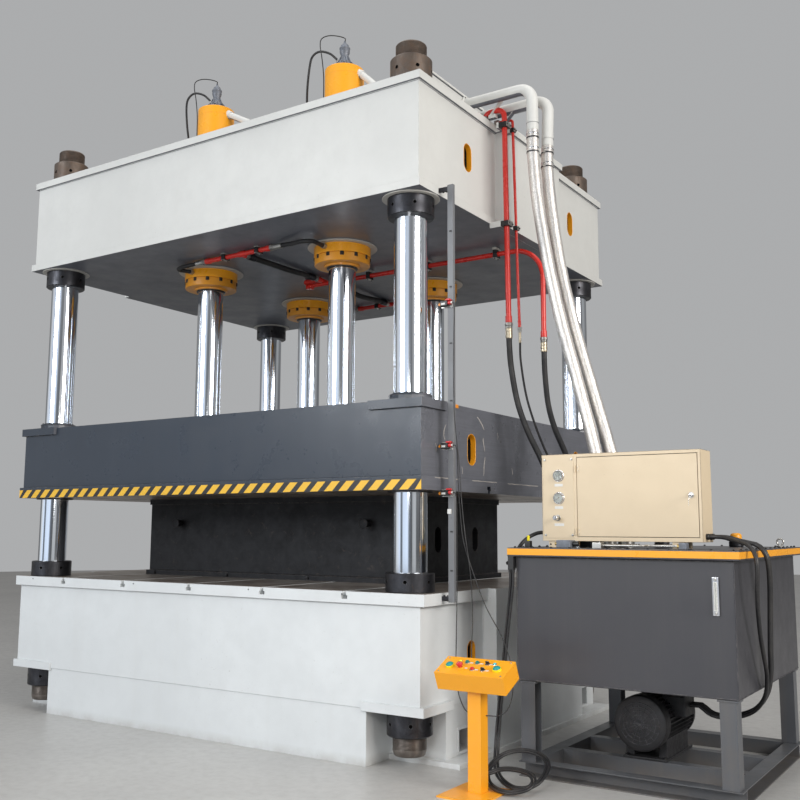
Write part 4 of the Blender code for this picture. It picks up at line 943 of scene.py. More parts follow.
gland = Shape("gland_mesh")
gland.lathe([(0.1165, 3.8445), (0.230, 3.8445), (0.234, 3.8405), (0.234, 3.775), (0.229, 3.770), (0.1535, 3.770), (0.150, 3.755), (0.1165, 3.755)], RING_YELLOW, 112)
gland.lathe([(0.1153, 3.7552), (0.132, 3.7552), (0.130, 3.747), (0.121, 3.7435), (0.1153, 3.746)], BLACK_CAP, 72)
for k in range(12):
    a = math.radians(30 * k + 6)
    out = Vector((math.cos(a), math.sin(a), 0))
    gland.lathe([(0, 0.0320), (0.0175, 0.0320), (0.0190, 0.0305), (0.0190, 0.0015), (0.0175, 0), (0, 0)], BOLT, 24, Matrix.Translation(out * 0.2235 + Vector((0, 0, 3.8122))))
    # a flat black hexagon under each bolt head: painted shade of its socket
    gland.lathe([(0, 0.0012), (0.0090, 0.0012), (0.0090, 0), (0, 0)], HOLE_SHADE, 6, Matrix.Translation(out * 0.2235 + Vector((0, 0, 3.8114))))
gland_piece = gland.done("frame", "yellow_paint", ["gland_ring_front_left"], at=(-CYL_X, -CYL_Y, 0))
gland_piece.name = "cylinder_gland_front_left"

rod = Shape("rod_mesh")
rod.lathe([(0, 4.200), (0.1345, 4.200), (0.1385, 4.196), (0.1385, 4.172), (0.133, 4.170), (0.133, 4.150), (0.1385, 4.148), (0.1385, 4.112), (0.133, 4.110), (0.133, 4.090), (0.1385, 4.088), (0.1385, 4.062),
           (0.135, 4.060), (0, 4.060)], BARE, 72)
rod.lathe([(0, 4.0602), (0.115, 4.0602)] + [(0.115, 4.0540 - 0.3086 * k) for k in range(6)] + [(0.115, 2.504), (0.113, 2.4995), (0, 2.4995)], CHROME, 112)
rod.lathe([(0.1150, 2.5003), (0.163, 2.5003), (0.168, 2.4955), (0.168, 2.4605), (0.165, 2.4555), (0.1150, 2.4555)], BLACKED, 96)
for k in range(10):
    a = math.radians(36 * k)
    rod.bolt((0.142 * math.cos(a), 0.142 * math.sin(a), 2.5003), (0, 0, 1), 0.014, BOLT, socket=True)
rod_piece = rod.done("slide", "hard_chrome", ["piston_rod_front_left"], at=(-CYL_X, -CYL_Y, 0))
rod_piece.name = "cylinder_rod_front_left"
for key, (sx, sy) in CORNERS.items():
    if key != "front_left":
        at = (sx * CYL_X, sy * CYL_Y, 0)
        place("press_cylinder_" + key, barrel_piece.data, "frame", ["cylinder_" + key], at)
        place("cylinder_gland_" + key, gland_piece.data, "frame", ["gland_ring_" + key], at)
        place("cylinder_rod_" + key, rod_piece.data, "slide", ["piston_rod_" + key], at)

# white oil pipes from the barrels to the top tank
feeds = Shape("top_oil_pipes")
ROOF_PIPES = {
    "front_left": [(-0.575, -0.731, 5.440), (-0.449, -0.731, 5.372), (0.180, -0.820, 5.020), (0.420, -0.985, 4.868), (1.251, -0.985, 4.868)],
    "front_right": [(0.947, -0.731, 5.440), (1.020, -0.735, 5.372), (1.215, -0.760, 5.180), (1.330, -0.800, 5.070), (1.330, -0.800, 5.001)],
    "rear_left": [(-0.575, 0.731, 5.440), (-0.449, 0.731, 5.372), (0.150, 0.620, 5.020), (0.420, 0.400, 4.868), (0.900, 0.050, 4.868), (1.420, -0.180, 4.868), (1.420, -0.421, 4.868)],
    "rear_right": [(0.947, 0.731, 5.440), (1.020, 0.720, 5.372), (1.230, 0.600, 5.080), (1.480, 0.300, 4.868), (1.640, -0.020, 4.868), (1.640, -0.421, 4.868)],
}
for key, route in ROOF_PIPES.items():
    feeds.tube(piped(route, 0.055, 7), 0.030, WHITE, 20)
    end, before = Vector(route[-1]), Vector(route[-2])
    feeds.ring(end, before - end, 0.052, 0.029, 0.014, WHITE, 32)
feeds.done("frame", "white_paint", angle=45)


# ================================================================ top tank, pipes, clamps
tank = Shape("top_oil_tank")
tank.box((1.2505, -1.2195, 4.7797), (1.9495, -0.4205, 4.9775), WHITE, 0.006)
tank.box((1.2385, -1.2315, 4.9780), (1.9615, -0.4085, 4.9995), WHITE, 0.005)
for x0, x1, y in ((1.2385, 1.9615, -1.2315), (1.2385, 1.9615, -0.4085)):
    count = 8
    for k in range(count):
        x = x0 + 0.03 + (x1 - x0 - 0.06) * k / (count - 1)
        tank.bolt((x, y + (0.018 if y < -1 else -0.018), 4.9995), (0, 0, 1), 0.009, BOLT, washer=True)
for s in (-1, 1):
    tank.weld((1.2505, -0.82 + s * 0.4, 4.7815), (1.9495, -0.82 + s * 0.4, 4.7815), 0.006, WHITE)
    tank.weld((1.6 + s * 0.35, -1.2195, 4.7815), (1.6 + s * 0.35, -0.4205, 4.7815), 0.006, WHITE)
# breather over the filler
tank.ring((1.420, -0.620, 4.9995), (0, 0, 1), 0.045, 0.020, 0.014, ZINC, 40)
tank.lathe([(0, 5.085), (0.030, 5.085), (0.040, 5.078), (0.043, 5.068), (0.043, 5.040), (0.038, 5.034), (0.026, 5.032), (0.026, 5.0135), (0, 5.0135)], BLACK_CAP, 48, Matrix.Translation((1.420, -0.620, 0)))
for k in range(4):
    a = math.radians(45 + 90 * k)
    tank.bolt((1.420 + 0.034 * math.cos(a), -0.620 + 0.034 * math.sin(a), 5.0135), (0, 0, 1), 0.005, ZINC, washer=False)
RETURN_A = piped([(1.900, -0.710, 4.925), (2.533, -0.710, 4.925), (2.533, -0.710, 4.575)], 0.110, 14)
RETURN_B = piped([(1.900, -0.545, 4.870), (2.598, -0.560, 4.870), (2.598, -0.590, 4.475)], 0.110, 14)
for route in (RETURN_A, RETURN_B):
    tank.tube(route, 0.0445, WHITE, 32)
    enter = Vector(route[0]) + Vector((0.0498, 0, 0))
    tank.ring(enter, (1, 0, 0), 0.066, 0.044, 0.014, WHITE, 40)
    for k in range(6):
        a = math.radians(60 * k)
        tank.bolt(enter + Vector((0.014, 0.056 * math.cos(a), 0.056 * math.sin(a))), (1, 0, 0), 0.006, BOLT, washer=False)
    end, before = Vector(route[-1]), Vector(route[-2])
    along = (end - before).normalized()
    tank.ring(end - along * 0.060, along, 0.0475, 0.044, 0.004, WHITE, 40)
tank.done("frame", "white_paint", ["top_tank"])

stays = Shape("roof_edge_stays")
for y, (xa, za), (xb, zb) in ((-0.655, (2.135, 4.790), (2.265, 4.934)), (-0.560, (2.235, 4.771), (2.330, 4.866))):
    a, b = Vector((xa, y, za)), Vector((xb, y, zb))
    along = (b - a).normalized()
    side = Vector((0, 1, 0))
    at = Matrix((
        (side.x, along.cross(side).x, along.x, a.x), (side.y, along.cross(side).y, along.y, a.y), (side.z, along.cross(side).z, along.z, a.z), (0, 0, 0, 1)))
    stays.box((-0.022, -0.003, 0), (0.022, 0.003, (b - a).length), WHITE, 0.0015, 2, at)
stays.box((2.134, -0.672, 4.7795), (2.196, -0.628, 4.812), WHITE, 0.004)
stays.bolt((2.165, -0.650, 4.812), (0, 0, 1), 0.009, BOLT)
stays.done("frame", "white_paint")


def coupling(shape, at, along, pipe, hose, socket=RED, ferrule=PALE_BRASS):
    """Weld socket, two nuts and the long pressed ferrule, from a pipe's end on to a hose."""
    at, along = Vector(at), Vector(along).normalized()
    shape.ring(at - along * 0.075, along, pipe * 1.22, pipe * 0.98, 0.052, socket, 32, 0.002)
    shape.hex(at - along * 0.0225, along, pipe * 2.55, 0.0245, ZINC)
    shape.hex(at + along * 0.0030, along, pipe * 2.25, 0.0150, ZINC)
    p = hose
    shape.lathe([(p * 0.9, 0.100), (p * 1.10, 0.100), (p * 1.24, 0.094), (p * 1.24, 0.074), (p * 1.16, 0.071), (p * 1.24, 0.066), (p * 1.24, 0.050), (p * 1.16, 0.046), (p * 1.24, 0.042), (p * 1.24, 0.026),
                 (p * 1.12, 0.018), (p * 0.9, 0.018)], ferrule, 32, aim(at, along))


def clamp(shape, at, along, up, radius, mat=BLACK_CAP, base=WHITE, wide=0.032, reach=0.05, half=None):
    """A two-part block clamp round a pipe, on a welded base. `up` points from the base to the pipe."""
    at, along, up = Vector(at), Vector(along).normalized(), Vector(up).normalized()
    side = along.cross(up).normalized()
    turn = Matrix(((along.x, side.x, up.x, at.x), (along.y, side.y, up.y, at.y), (along.z, side.z, up.z, at.z), (0, 0, 0, 1)))
    w, r = wide / 2, radius * 1.75
    h = half or r * 0.92
    shape.box((-w, -r, -h), (w, r, -0.0008), mat, 0.002, 2, turn)
    shape.box((-w, -r, 0.0008), (w, r, h), mat, 0.002, 2, turn)
    shape.box((-w * 0.9, -r, h), (w * 0.9, r, h + 0.003), ZINC, 0.001, 2, turn)
    for s in (-1, 1):
        shape.bolt(at + side * s * r * 0.80 + up * (h + 0.003), up, 0.007, BOLT, washer=False)
    if base is not None:
        shape.box((-w * 1.15, -r * 1.1, -reach), (w * 1.15, r * 1.1, -h), base, 0.0015, 2, turn)


# red pressure lines
red = Shape("red_pressure_pipe")
PRESSURE = piped([(2.085, -0.640, 4.7805), (2.085, -0.640, 4.845), (2.258, -0.640, 4.845), (2.258, -0.600, 3.120)], 0.060, 12)
red.tube(PRESSURE, 0.0208, RED, 24)
red.ring((2.085, -0.640, 4.7800), (0, 0, 1), 0.036, 0.0205, 0.012, RED, 32)
red.hex((2.085, -0.640, 4.792), (0, 0, 1), 0.056, 0.022, ZINC)
coupling(red, (2.258, -0.600, 3.119), Vector(PRESSURE[-1]) - Vector(PRESSURE[-2]), 0.0210, 0.022)
red.done("frame", "red_paint", ["pressure_pipe"])

red = Shape("red_feed_pipe")
FEED = piped([(-0.100, -0.030, 3.880), (2.285, -0.030, 3.880), (2.285, -0.030, 3.100)], 0.260, 20)
red.tube(FEED, 0.0208, RED, 24)
coupling(red, (2.285, -0.030, 3.099), (0, 0, -1), 0.0210, 0.022)
red.ring((-0.100, -0.030, 3.880), (-1, 0, 0), 0.026, 0.0205, 0.030, RED, 32)
red.box((-0.175, -0.062, 3.848), (-0.125, 0.002, 3.931), RED, 0.004)
red.ring((-0.150, -0.061, 3.9045), (0, -1, 0), 0.026, 0.0195, 0.030, RED, 32)
for x in (0.55, 1.18, 1.86):
    clamp(red, (x, -0.030, 3.880), (1, 0, 0), (0, 0, -1), 0.021, BLACK_CAP, PALE, 0.034, 0.0535)
red.done("frame", "red_paint", ["feed_pipe"])

# thin red drain line beside them, its hose and the clamps on the crown's side
red = Shape("thin_red_pipe")
THIN = piped([(2.215, -0.520, 4.800), (2.270, -0.520, 4.790), (2.270, -0.440, 3.110)], 0.02, 6)
red.tube([(2.150, -0.520, 4.8005)] + THIN, 0.0110, RED, 18)
red.box((2.118, -0.545, 4.7795), (2.160, -0.495, 4.815), ZINC, 0.003)
thin_way = (Vector(THIN[-1]) - Vector(THIN[-2])).normalized()
red.done("frame", "red_paint")
red = Shape("drain_hose_fitting")
coupling(red, Vector(THIN[-1]) - thin_way * 0.001, thin_way, 0.0110, 0.0085)
drain_end = red.done("frame", "grey_steel")

holds = Shape("pipe_clamps")
for z in (4.708, 3.916):
    t = (4.845 - z) / (4.845 - 3.120)
    y = -0.640 + 0.040 * t
    clamp(holds, (2.258, y, z), (0, 0, 1), (1, 0, 0), 0.021, BLACK_CAP, WHITE, 0.042, 0.0510 if z > 4.6 else 0.127)
    ty = -0.520 + 0.080 * (4.790 - z) / (4.790 - 3.110)
    clamp(holds, (2.270, ty, z), (0, 0, 1), (1, 0, 0), 0.0112, BLACK_CAP, WHITE if z > 4.6 else None, 0.036, 0.063)
holds.done("frame", "blacked_steel")

# pipework under the crown: front line with its two hoses, the cross line and the far line
UNDER = 3.9045
under = Shape("under_crown_pipes")
under.tube([(-0.459, -1.127, UNDER), (-0.2, -1.1335, UNDER), (0.1, -1.141, UNDER), (0.345, -1.147, UNDER)], 0.0208, RED, 24)
for x, y in ((-0.204, -1.1333), (0.184, -1.1430)):
    clamp(under, (x, y, UNDER), (1, -0.02, 0), (0, 0, -1), 0.021, BLACK_CAP, PALE, 0.036, 0.0292, 0.0245)
under.drum((-0.045, -1.1375, UNDER), (0.031, -1.1393, UNDER), 0.0262, RED, 36, 0.005)
under.drum((-0.007, -1.150, UNDER), (-0.007, -1.072, UNDER), 0.0262, RED, 36, 0.005)
under.tube([(-0.150, -0.091, UNDER), (-0.05, -0.094, UNDER), (0.018, -0.094, UNDER)], 0.0208, RED, 24)
under.drum((0.020, -0.150, UNDER), (0.020, -0.060, UNDER), 0.0265, RED, 36, 0.006)
under.tube([(-0.404, 1.103, UNDER), (-0.1, 1.100, UNDER), (0.400, 1.100, UNDER)], 0.0208, RED, 24)
for x in (-0.141, 0.241):
    clamp(under, (x, 1.101, UNDER), (1, 0, 0), (0, 0, -1), 0.021, BLACK_CAP, PALE, 0.036, 0.0292, 0.0245)
under.drum((0.016, 1.115, UNDER), (0.016, 1.036, UNDER), 0.0262, RED, 36, 0.005)
under.tube([(0.020, -0.066, UNDER), (0.020, 0.020, UNDER), (0.020, 0.120, UNDER)], 0.0208, RED, 24)
for at, way in (((-0.460, -1.127, UNDER), (-1, 0.02, 0)), ((0.346, -1.147, UNDER), (1, -0.02, 0)), ((-0.007, -1.072, UNDER), (0, 1, 0)), ((0.020, -0.160, UNDER), (0, -1, 0)),
                ((0.020, 0.121, UNDER), (0, 1, 0)), ((0.016, 1.036, UNDER), (0, -1, 0)), ((-0.405, 1.103, UNDER), (-1, 0, 0)), ((0.401, 1.100, UNDER), (1, 0, 0))):
    cross = abs(way[1]) > 0.5
    coupling(under, at, way, 0.0210, 0.0250 if cross else 0.0185, ferrule=BLACKED if cross else ZINC)
# elbows into the flanges of the four cylinders
for sx, sy in CORNERS.values():
    c = Vector((sx * CYL_X, sy * CYL_Y, 3.890))
    under.drum(c + Vector((0, sy * 0.239, 0)), c + Vector((0, sy * 0.262, 0)), 0.024, ZINC, 28, 0.003)
    under.hex(c + Vector((0, sy * 0.248, 0)), (0, sy, 0), 0.044, 0.026, ZINC)
under.done("frame", "red_paint", angle=45)

UNDER_HOSES = {
    "front_left": [(-0.561, -1.125, UNDER), (-0.610, -1.124, UNDER), (-0.670, -1.126, UNDER - 0.004), (-0.735, -1.132, UNDER - 0.010), (-0.790, -1.118, UNDER - 0.014), (-0.805, -1.078, UNDER - 0.014), (-0.781, -1.038, 3.890), (-0.761, -0.998, 3.890)],
    "front_right": [(0.447, -1.149, UNDER), (0.500, -1.150, UNDER), (0.575, -1.160, UNDER - 0.006), (0.660, -1.186, UNDER - 0.014), (0.732, -1.186, UNDER - 0.018), (0.772, -1.142, UNDER - 0.016), (0.766, -1.070, 3.890), (0.761, -0.998, 3.890)],
    "rear_left": [(-0.506, 1.103, UNDER), (-0.565, 1.104, UNDER), (-0.640, 1.125, UNDER - 0.006), (-0.700, 1.148, UNDER - 0.012), (-0.752, 1.140, UNDER - 0.014), (-0.768, 1.095, UNDER - 0.014), (-0.761, 1.050, 3.890), (-0.761, 0.998, 3.890)],
    "rear_right": [(0.502, 1.100, UNDER), (0.565, 1.101, UNDER), (0.640, 1.122, UNDER - 0.006), (0.700, 1.146, UNDER - 0.012), (0.752, 1.140, UNDER - 0.014), (0.768, 1.095, UNDER - 0.014), (0.761, 1.050, 3.890), (0.761, 0.998, 3.890)],
    "cross_front": [(-0.007, -0.970, UNDER), (-0.006, -0.920, UNDER), (0.002, -0.780, UNDER - 0.003), (0.010, -0.600, UNDER - 0.006), (0.016, -0.440, UNDER - 0.004), (0.020, -0.330, UNDER), (0.020, -0.262, UNDER)],
    "cross_rear": [(0.020, 0.223, UNDER), (0.020, 0.290, UNDER), (0.018, 0.440, UNDER - 0.014), (0.013, 0.600, UNDER - 0.020), (0.014, 0.780, UNDER - 0.010), (0.016, 0.880, UNDER), (0.016, 0.934, UNDER)],
}
for key, route in UNDER_HOSES.items():
    line = smooth_route(route, 0.022)
    cord("crown_hose_" + key, line, 0.050 if key.startswith("cross") else 0.036, HOSE, sides=16)

# ================================================================ return hoses and pressure hoses
HOSE_ROUTES = {
    "return_hose_a": [(2.533, -0.710, 4.574), (2.533, -0.710, 4.420), (2.560, -0.705, 4.050), (2.622, -0.690, 3.600), (2.710, -0.665, 3.120), (2.818, -0.630, 2.650), (2.918, -0.600, 2.200), (2.988, -0.575, 1.800), (3.000, -0.570, 1.600), (3.000, -0.570, 1.538)],
    "return_hose_b": [(2.598, -0.590, 4.474), (2.598, -0.600, 4.320), (2.620, -0.594, 4.000), (2.675, -0.575, 3.550), (2.765, -0.545, 3.080), (2.875, -0.505, 2.620), (2.985, -0.470, 2.180), (3.068, -0.445, 1.800), (3.085, -0.440, 1.600), (3.085, -0.440, 1.538)],
    "pressure_hose": [(2.258, -0.600, 3.119), (2.258, -0.597, 2.980), (2.276, -0.600, 2.780), (2.325, -0.600, 2.520), (2.405, -0.600, 2.300), (2.505, -0.600, 2.100), (2.605, -0.600, 1.880), (2.660, -0.600, 1.700), (2.670, -0.600, 1.580), (2.670, -0.600, 1.518)],
    "feed_hose": [(2.285, -0.030, 3.099), (2.285, -0.030, 2.960), (2.310, -0.070, 2.780), (2.365, -0.140, 2.550), (2.450, -0.210, 2.350), (2.560, -0.280, 2.160), (2.670, -0.330, 1.920), (2.725, -0.350, 1.740), (2.735, -0.355, 1.600), (2.735, -0.355, 1.518)],
}
ends = Shape("hose_end_fittings")
for key, route in HOSE_ROUTES.items():
    metal = key.startswith("return")
    line = smooth_route(route, 0.012 if metal else 0.03)
    r = 0.046 if metal else 0.022
    if metal:
        # fine rings of the covering, worn unevenly
        radii = [r * (1.0 if k % 2 else 0.990) + 0.0004 * math.sin(k * 0.37) for k in range(len(line))]
        radii[0] = radii[-1] = r * 0.985
        cord(key + "_skin", line, 0.092, BRAID, replaces=[key], slot="silver_braid", sides=40, radii=radii)
        top, bottom = Vector(line[0]), Vector(line[-1])
        down = (Vector(line[1]) - top).normalized()
        for step in (0.022, 0.052, 0.135, 0.165):
            ends.ring(top + down * step, down, 0.0488, 0.0455, 0.011, BRIGHT if step in (0.022, 0.135) else BLACKED, 48, 0.001)
            ends.box((-0.010, 0.046, -0.002), (0.010, 0.058, 0.013), ZINC, 0.0015, 2, aim(top + down * step, down))
        up = (Vector(line[-2]) - bottom).normalized()
        for step in (0.010, 0.034):
            ends.ring(bottom + up * step, up, 0.0495, 0.0455, 0.012, BRIGHT, 48, 0.001)
            ends.box((-0.010, -0.059, -0.002), (0.010, -0.046, 0.013), ZINC, 0.0015, 2, aim(bottom + up * step, up))
    else:
        cord(key + "_skin", line, 0.044, HOSE, replaces=[key], slot="black_rubber", sides=24)
        bottom = Vector(line[-1])
        up = (Vector(line[-2]) - bottom).normalized()
        p = r
        ends.lathe([(p * 0.9, 0.085), (p * 1.08, 0.085), (p * 1.2, 0.079), (p * 1.2, 0.060), (p * 1.13, 0.056), (p * 1.2, 0.052), (p * 1.2, 0.034), (p * 1.13, 0.030), (p * 1.2, 0.026), (p * 1.2, 0.010),
                    (p * 1.05, 0.002), (p * 0.9, 0.002)], PALE_BRASS, 32, aim(bottom, up))
ends.done("frame", "grey_steel", angle=45)

drain = smooth_route([Vector(THIN[-1]) + thin_way * 0.028, Vector(THIN[-1]) + thin_way * 0.10, (2.275, -0.436, 2.86), (2.318, -0.430, 2.58), (2.400, -0.425, 2.32), (2.500, -0.420, 2.08), (2.590, -0.415, 1.86), (2.645, -0.412, 1.66),
                      (2.655, -0.410, 1.555), (2.655, -0.410, 1.4845)], 0.03)
cord("drain_hose", drain[::-1], 0.017, HOSE, sides=12)

# ================================================================ pilot hoses and thin cables of the filling valves
for key, (sx, sy) in CORNERS.items():
    cx, cy = sx * CYL_X, sy * CYL_Y
    lean = -0.075 if sx > 0 else 0.055
    # thick pilot hose: from the valve's elbow over and down to the roof
    base = [(cx - 0.064, cy - 0.011, 5.628), (cx - 0.082, cy - 0.014, 5.652), (cx - 0.145, cy - 0.030, 5.712), (cx - 0.235, cy - 0.052, 5.745), (cx - 0.300, cy - 0.068, 5.715), (cx - 0.328, cy - 0.074, 5.630),
            (cx - 0.328 + lean * 0.35, cy - 0.072, 5.400), (cx - 0.300 + lean * 0.8, cy - 0.060, 5.100), (cx - 0.276 + lean, cy - 0.050, 4.900), (cx - 0.274 + lean, cy - 0.050, 4.818), (cx - 0.274 + lean, cy - 0.050, 4.7805)]
    cord("pilot_hose_" + key, smooth_route(base, 0.026), 0.020, HOSE, sides=14)
    wire = [(cx + 0.010, cy - 0.010, 5.790), (cx + 0.022, cy - 0.020, 5.806), (cx - 0.020, cy - 0.060, 5.822), (cx - 0.090, cy - 0.110, 5.826), (cx - 0.150, cy - 0.140, 5.800), (cx - 0.170, cy - 0.130, 5.740), (cx - 0.165, cy - 0.110, 5.640),
            (cx - 0.152, cy - 0.100, 5.480), (cx - 0.150, cy - 0.098, 5.300), (cx - 0.150, cy - 0.098, 5.080), (cx - 0.150, cy - 0.098, 4.900), (cx - 0.150, cy - 0.098, 4.7805)]
    cord("valve_wire_" + key, smooth_route(wire, 0.022), 0.009, CABLE, sides=10)

taps = Shape("roof_fittings")
for sx, sy in CORNERS.values():
    cx, cy = sx * CYL_X, sy * CYL_Y
    lean = -0.075 if sx > 0 else 0.055
    taps.ring((cx - 0.274 + lean, cy - 0.050, 4.7795), (0, 0, 1), 0.024, 0.010, 0.010, ZINC, 28)
    taps.hex((cx - 0.274 + lean, cy - 0.050, 4.7895), (0, 0, 1), 0.030, 0.020, ZINC)
    taps.ring((cx - 0.150, cy - 0.098, 4.7795), (0, 0, 1), 0.014, 0.0048, 0.014, BLACK_CAP, 24)
taps.done("frame", "grey_steel")

# ================================================================ switch post with its switches
finish_node("switch_post", POST_GREY, 0.001)
post = Shape("switch_post_fittings")
for z, way in ((1.1285, 1), (3.9515, -1)):
    for x in (2.166, 2.192):
        post.bolt((x, -1.418, z), (0, 0, way), 0.008, BOLT)
post.box((2.1500, -1.4275, 1.0975), (2.2100, -1.4085, 1.1290), BLACKED, 0.001)
post.box((2.1300, -1.4275, 3.9515), (2.2100, -1.4085, 3.9825), BLACKED, 0.001)
for z, body in ((3.130, BLACK_CAP), (2.140, BLACK_CAP), (1.820, BLACK_CAP)):
    y = -1.4303
    post.box((2.158, y - 0.006, z - 0.026), (2.246, y, z + 0.026), ZINC, 0.001)
    post.box((2.166, y - 0.040, z - 0.020), (2.222, y - 0.0062, z + 0.018), body, 0.004)
    post.box((2.176, y - 0.0415, z - 0.012), (2.206, y - 0.0395, z + 0.002), WHITE_CAP, 0.0006)
    post.box((2.152, y - 0.034, z - 0.014), (2.166, y - 0.012, z + 0.006), ORANGE_CAP, 0.002)
    post.drum((2.1435, y - 0.023, z - 0.004), (2.152, y - 0.023, z - 0.004), 0.0060, ORANGE_CAP, 24, 0.002)
    post.drum((2.222, y - 0.023, z + 0.002), (2.242, y - 0.023, z + 0.002), 0.0125, RED_CAP, 28, 0.003)
    post.box((2.206, y - 0.036, z + 0.018), (2.240, y - 0.008, z + 0.030), RED_CAP, 0.003)
    post.drum((2.242, y - 0.023, z + 0.002), (2.254, y - 0.023, z + 0.002), 0.0070, WHITE_CAP, 20, 0.002)
    for x in (2.163, 2.240):
        post.bolt((x, y - 0.006, z - 0.018), (0, -1, 0), 0.004, BOLT, washer=False)
post.box((2.203, -1.4400, 1.678), (2.232, -1.4303, 1.712), WHITE_CAP, 0.002)
for z in (1.30, 1.56, 2.45, 2.85, 3.25, 3.65):
    post.box((2.222, -1.4360, z - 0.005), (2.240, -1.4303, z + 0.005), BLACK_CAP, 0.0015)
post.done("frame", "grey_steel")
LEADS = {
    "switch_lead_1": [(2.2545, -1.4533, 1.822), (2.272, -1.4535, 1.820), (2.284, -1.455, 1.780), (2.288, -1.458, 1.600), (2.290, -1.462, 1.400), (2.294, -1.470, 1.150), (2.305, -1.500, 0.900), (2.325, -1.540, 0.680), (2.365, -1.580, 0.540),
                      (2.440, -1.640, 0.462), (2.510, -1.700, 0.448), (2.5540, -1.735, 0.446)],
    "switch_lead_2": [(2.2545, -1.4533, 2.142), (2.276, -1.4535, 2.140), (2.292, -1.456, 2.080), (2.300, -1.460, 1.900), (2.318, -1.465, 1.700), (2.345, -1.470, 1.500), (2.420, -1.480, 1.300), (2.520, -1.490, 1.080), (2.640, -1.505, 0.900),
                      (2.715, -1.520, 0.720), (2.738, -1.560, 0.560), (2.728, -1.620, 0.470), (2.690, -1.690, 0.446), (2.6455, -1.735, 0.452)],
    "switch_lead_3": [(2.2545, -1.4533, 3.132), (2.268, -1.4535, 3.128), (2.274, -1.454, 3.060), (2.266, -1.450, 2.940), (2.260, -1.446, 2.740), (2.258, -1.443, 2.540), (2.262, -1.444, 2.380), (2.276, -1.449, 2.240), (2.310, -1.464, 2.020), (2.330, -1.469, 1.780), (2.360, -1.474, 1.540), (2.400, -1.480, 1.300), (2.420, -1.490, 1.050),
                      (2.430, -1.520, 0.820), (2.452, -1.570, 0.660), (2.500, -1.640, 0.560), (2.5540, -1.690, 0.545)],
}
for key, route in LEADS.items():
    cord(key, smooth_route(route, 0.03), 0.0065, CABLE, sides=10)

# ================================================================ power unit
def channel(shape, start, end, wide, deep, open_to, mat, wall=0.007):
    """A U-section from start to end. The web faces away from `open_to`."""
    a, b = Vector(start), Vector(end)
    along, face = (b - a).normalized(), Vector(open_to).normalized()
    side = along.cross(face).normalized()
    turn = Matrix(((side.x, face.x, along.x, a.x), (side.y, face.y, along.y, a.y), (side.z, face.z, along.z, a.z), (0, 0, 0, 1)))
    w, d = wide / 2, deep / 2
    outline = [(-w, -d), (w, -d), (w, d), (w - wall, d - 0.001), (w - wall * 1.3, -d + wall), (-w + wall * 1.3, -d + wall), (-w + wall, d - 0.001), (-w, d)]
    shape.prism(outline, (b - a).length, mat, turn, 0.0012)


unit = Shape("power_unit_tank")
unit.box((2.6233, -1.2497, 0.6003), (4.0327, 0.3897, 1.3997), TANK_GREY, 0.006, 3)
for x0, x1 in ((2.640, 2.740), (3.916, 4.016)):
    for y0, y1 in ((-1.245, -1.145), (0.285, 0.385)):
        channel(unit, ((x0 + x1) / 2, (y0 + y1) / 2, 0.0955), ((x0 + x1) / 2, (y0 + y1) / 2, 0.5995), 0.0996, 0.0996, (1, 0, 0) if x0 < 3 else (-1, 0, 0), RAIL_GREY)
        unit.box((x0 - 0.012, y0 - 0.004, 0.5880), (x1 + 0.012, y1 + 0.004, 0.5998), RAIL_GREY, 0.002)
for y0, y1, way in ((-1.250, -1.150, (0, -1, 0)), (0.290, 0.390, (0, 1, 0))):
    channel(unit, (2.6235, (y0 + y1) / 2, 0.0475), (4.0325, (y0 + y1) / 2, 0.0475), 0.0948, 0.0996, way, RAIL_GREY)
for x0, x1, way in ((2.6235, 2.7230, (-1, 0, 0)), (3.9330, 4.0325, (1, 0, 0))):
    channel(unit, ((x0 + x1) / 2, -1.1495, 0.0475), ((x0 + x1) / 2, 0.2895, 0.0475), 0.0948, 0.0990, way, RAIL_GREY)
for y in (-0.780, -0.300):
    channel(unit, (2.7235, y + 0.04, 0.0475), (3.9325, y + 0.04, 0.0475), 0.0948, 0.0790, (0, 1, 0), RAIL_GREY)
for z in (0.606, 1.394):
    unit.weld((2.625, -1.2503, z), (4.031, -1.2503, z), 0.004, TANK_GREY)
    unit.weld((4.0333, -1.248, z), (4.0333, 0.388, z), 0.004, TANK_GREY)
for x in (2.6245, 4.0315):
    unit.weld((x, -1.2490, 0.606), (x, -1.2490, 1.394), 0.004, TANK_GREY)
unit.done("frame", "tank_grey_paint", ["tank"])

lid = Shape("power_unit_lid")
lid.box((2.5785, -1.2945, 1.4280), (4.0775, 0.4345, 1.4568), TANK_GREY, 0.003)
lid.box((2.5785, -1.2945, 1.4005), (4.0775, -1.2865, 1.4300), TANK_GREY, 0.001)
lid.box((4.0695, -1.2945, 1.4005), (4.0775, 0.4345, 1.4300), TANK_GREY, 0.001)
lid.box((2.5785, -1.2945, 1.4005), (2.5865, 0.4345, 1.4300), TANK_GREY, 0.001)
lid.box((2.5785, 0.4265, 1.4005), (4.0775, 0.4345, 1.4300), TANK_GREY, 0.001)
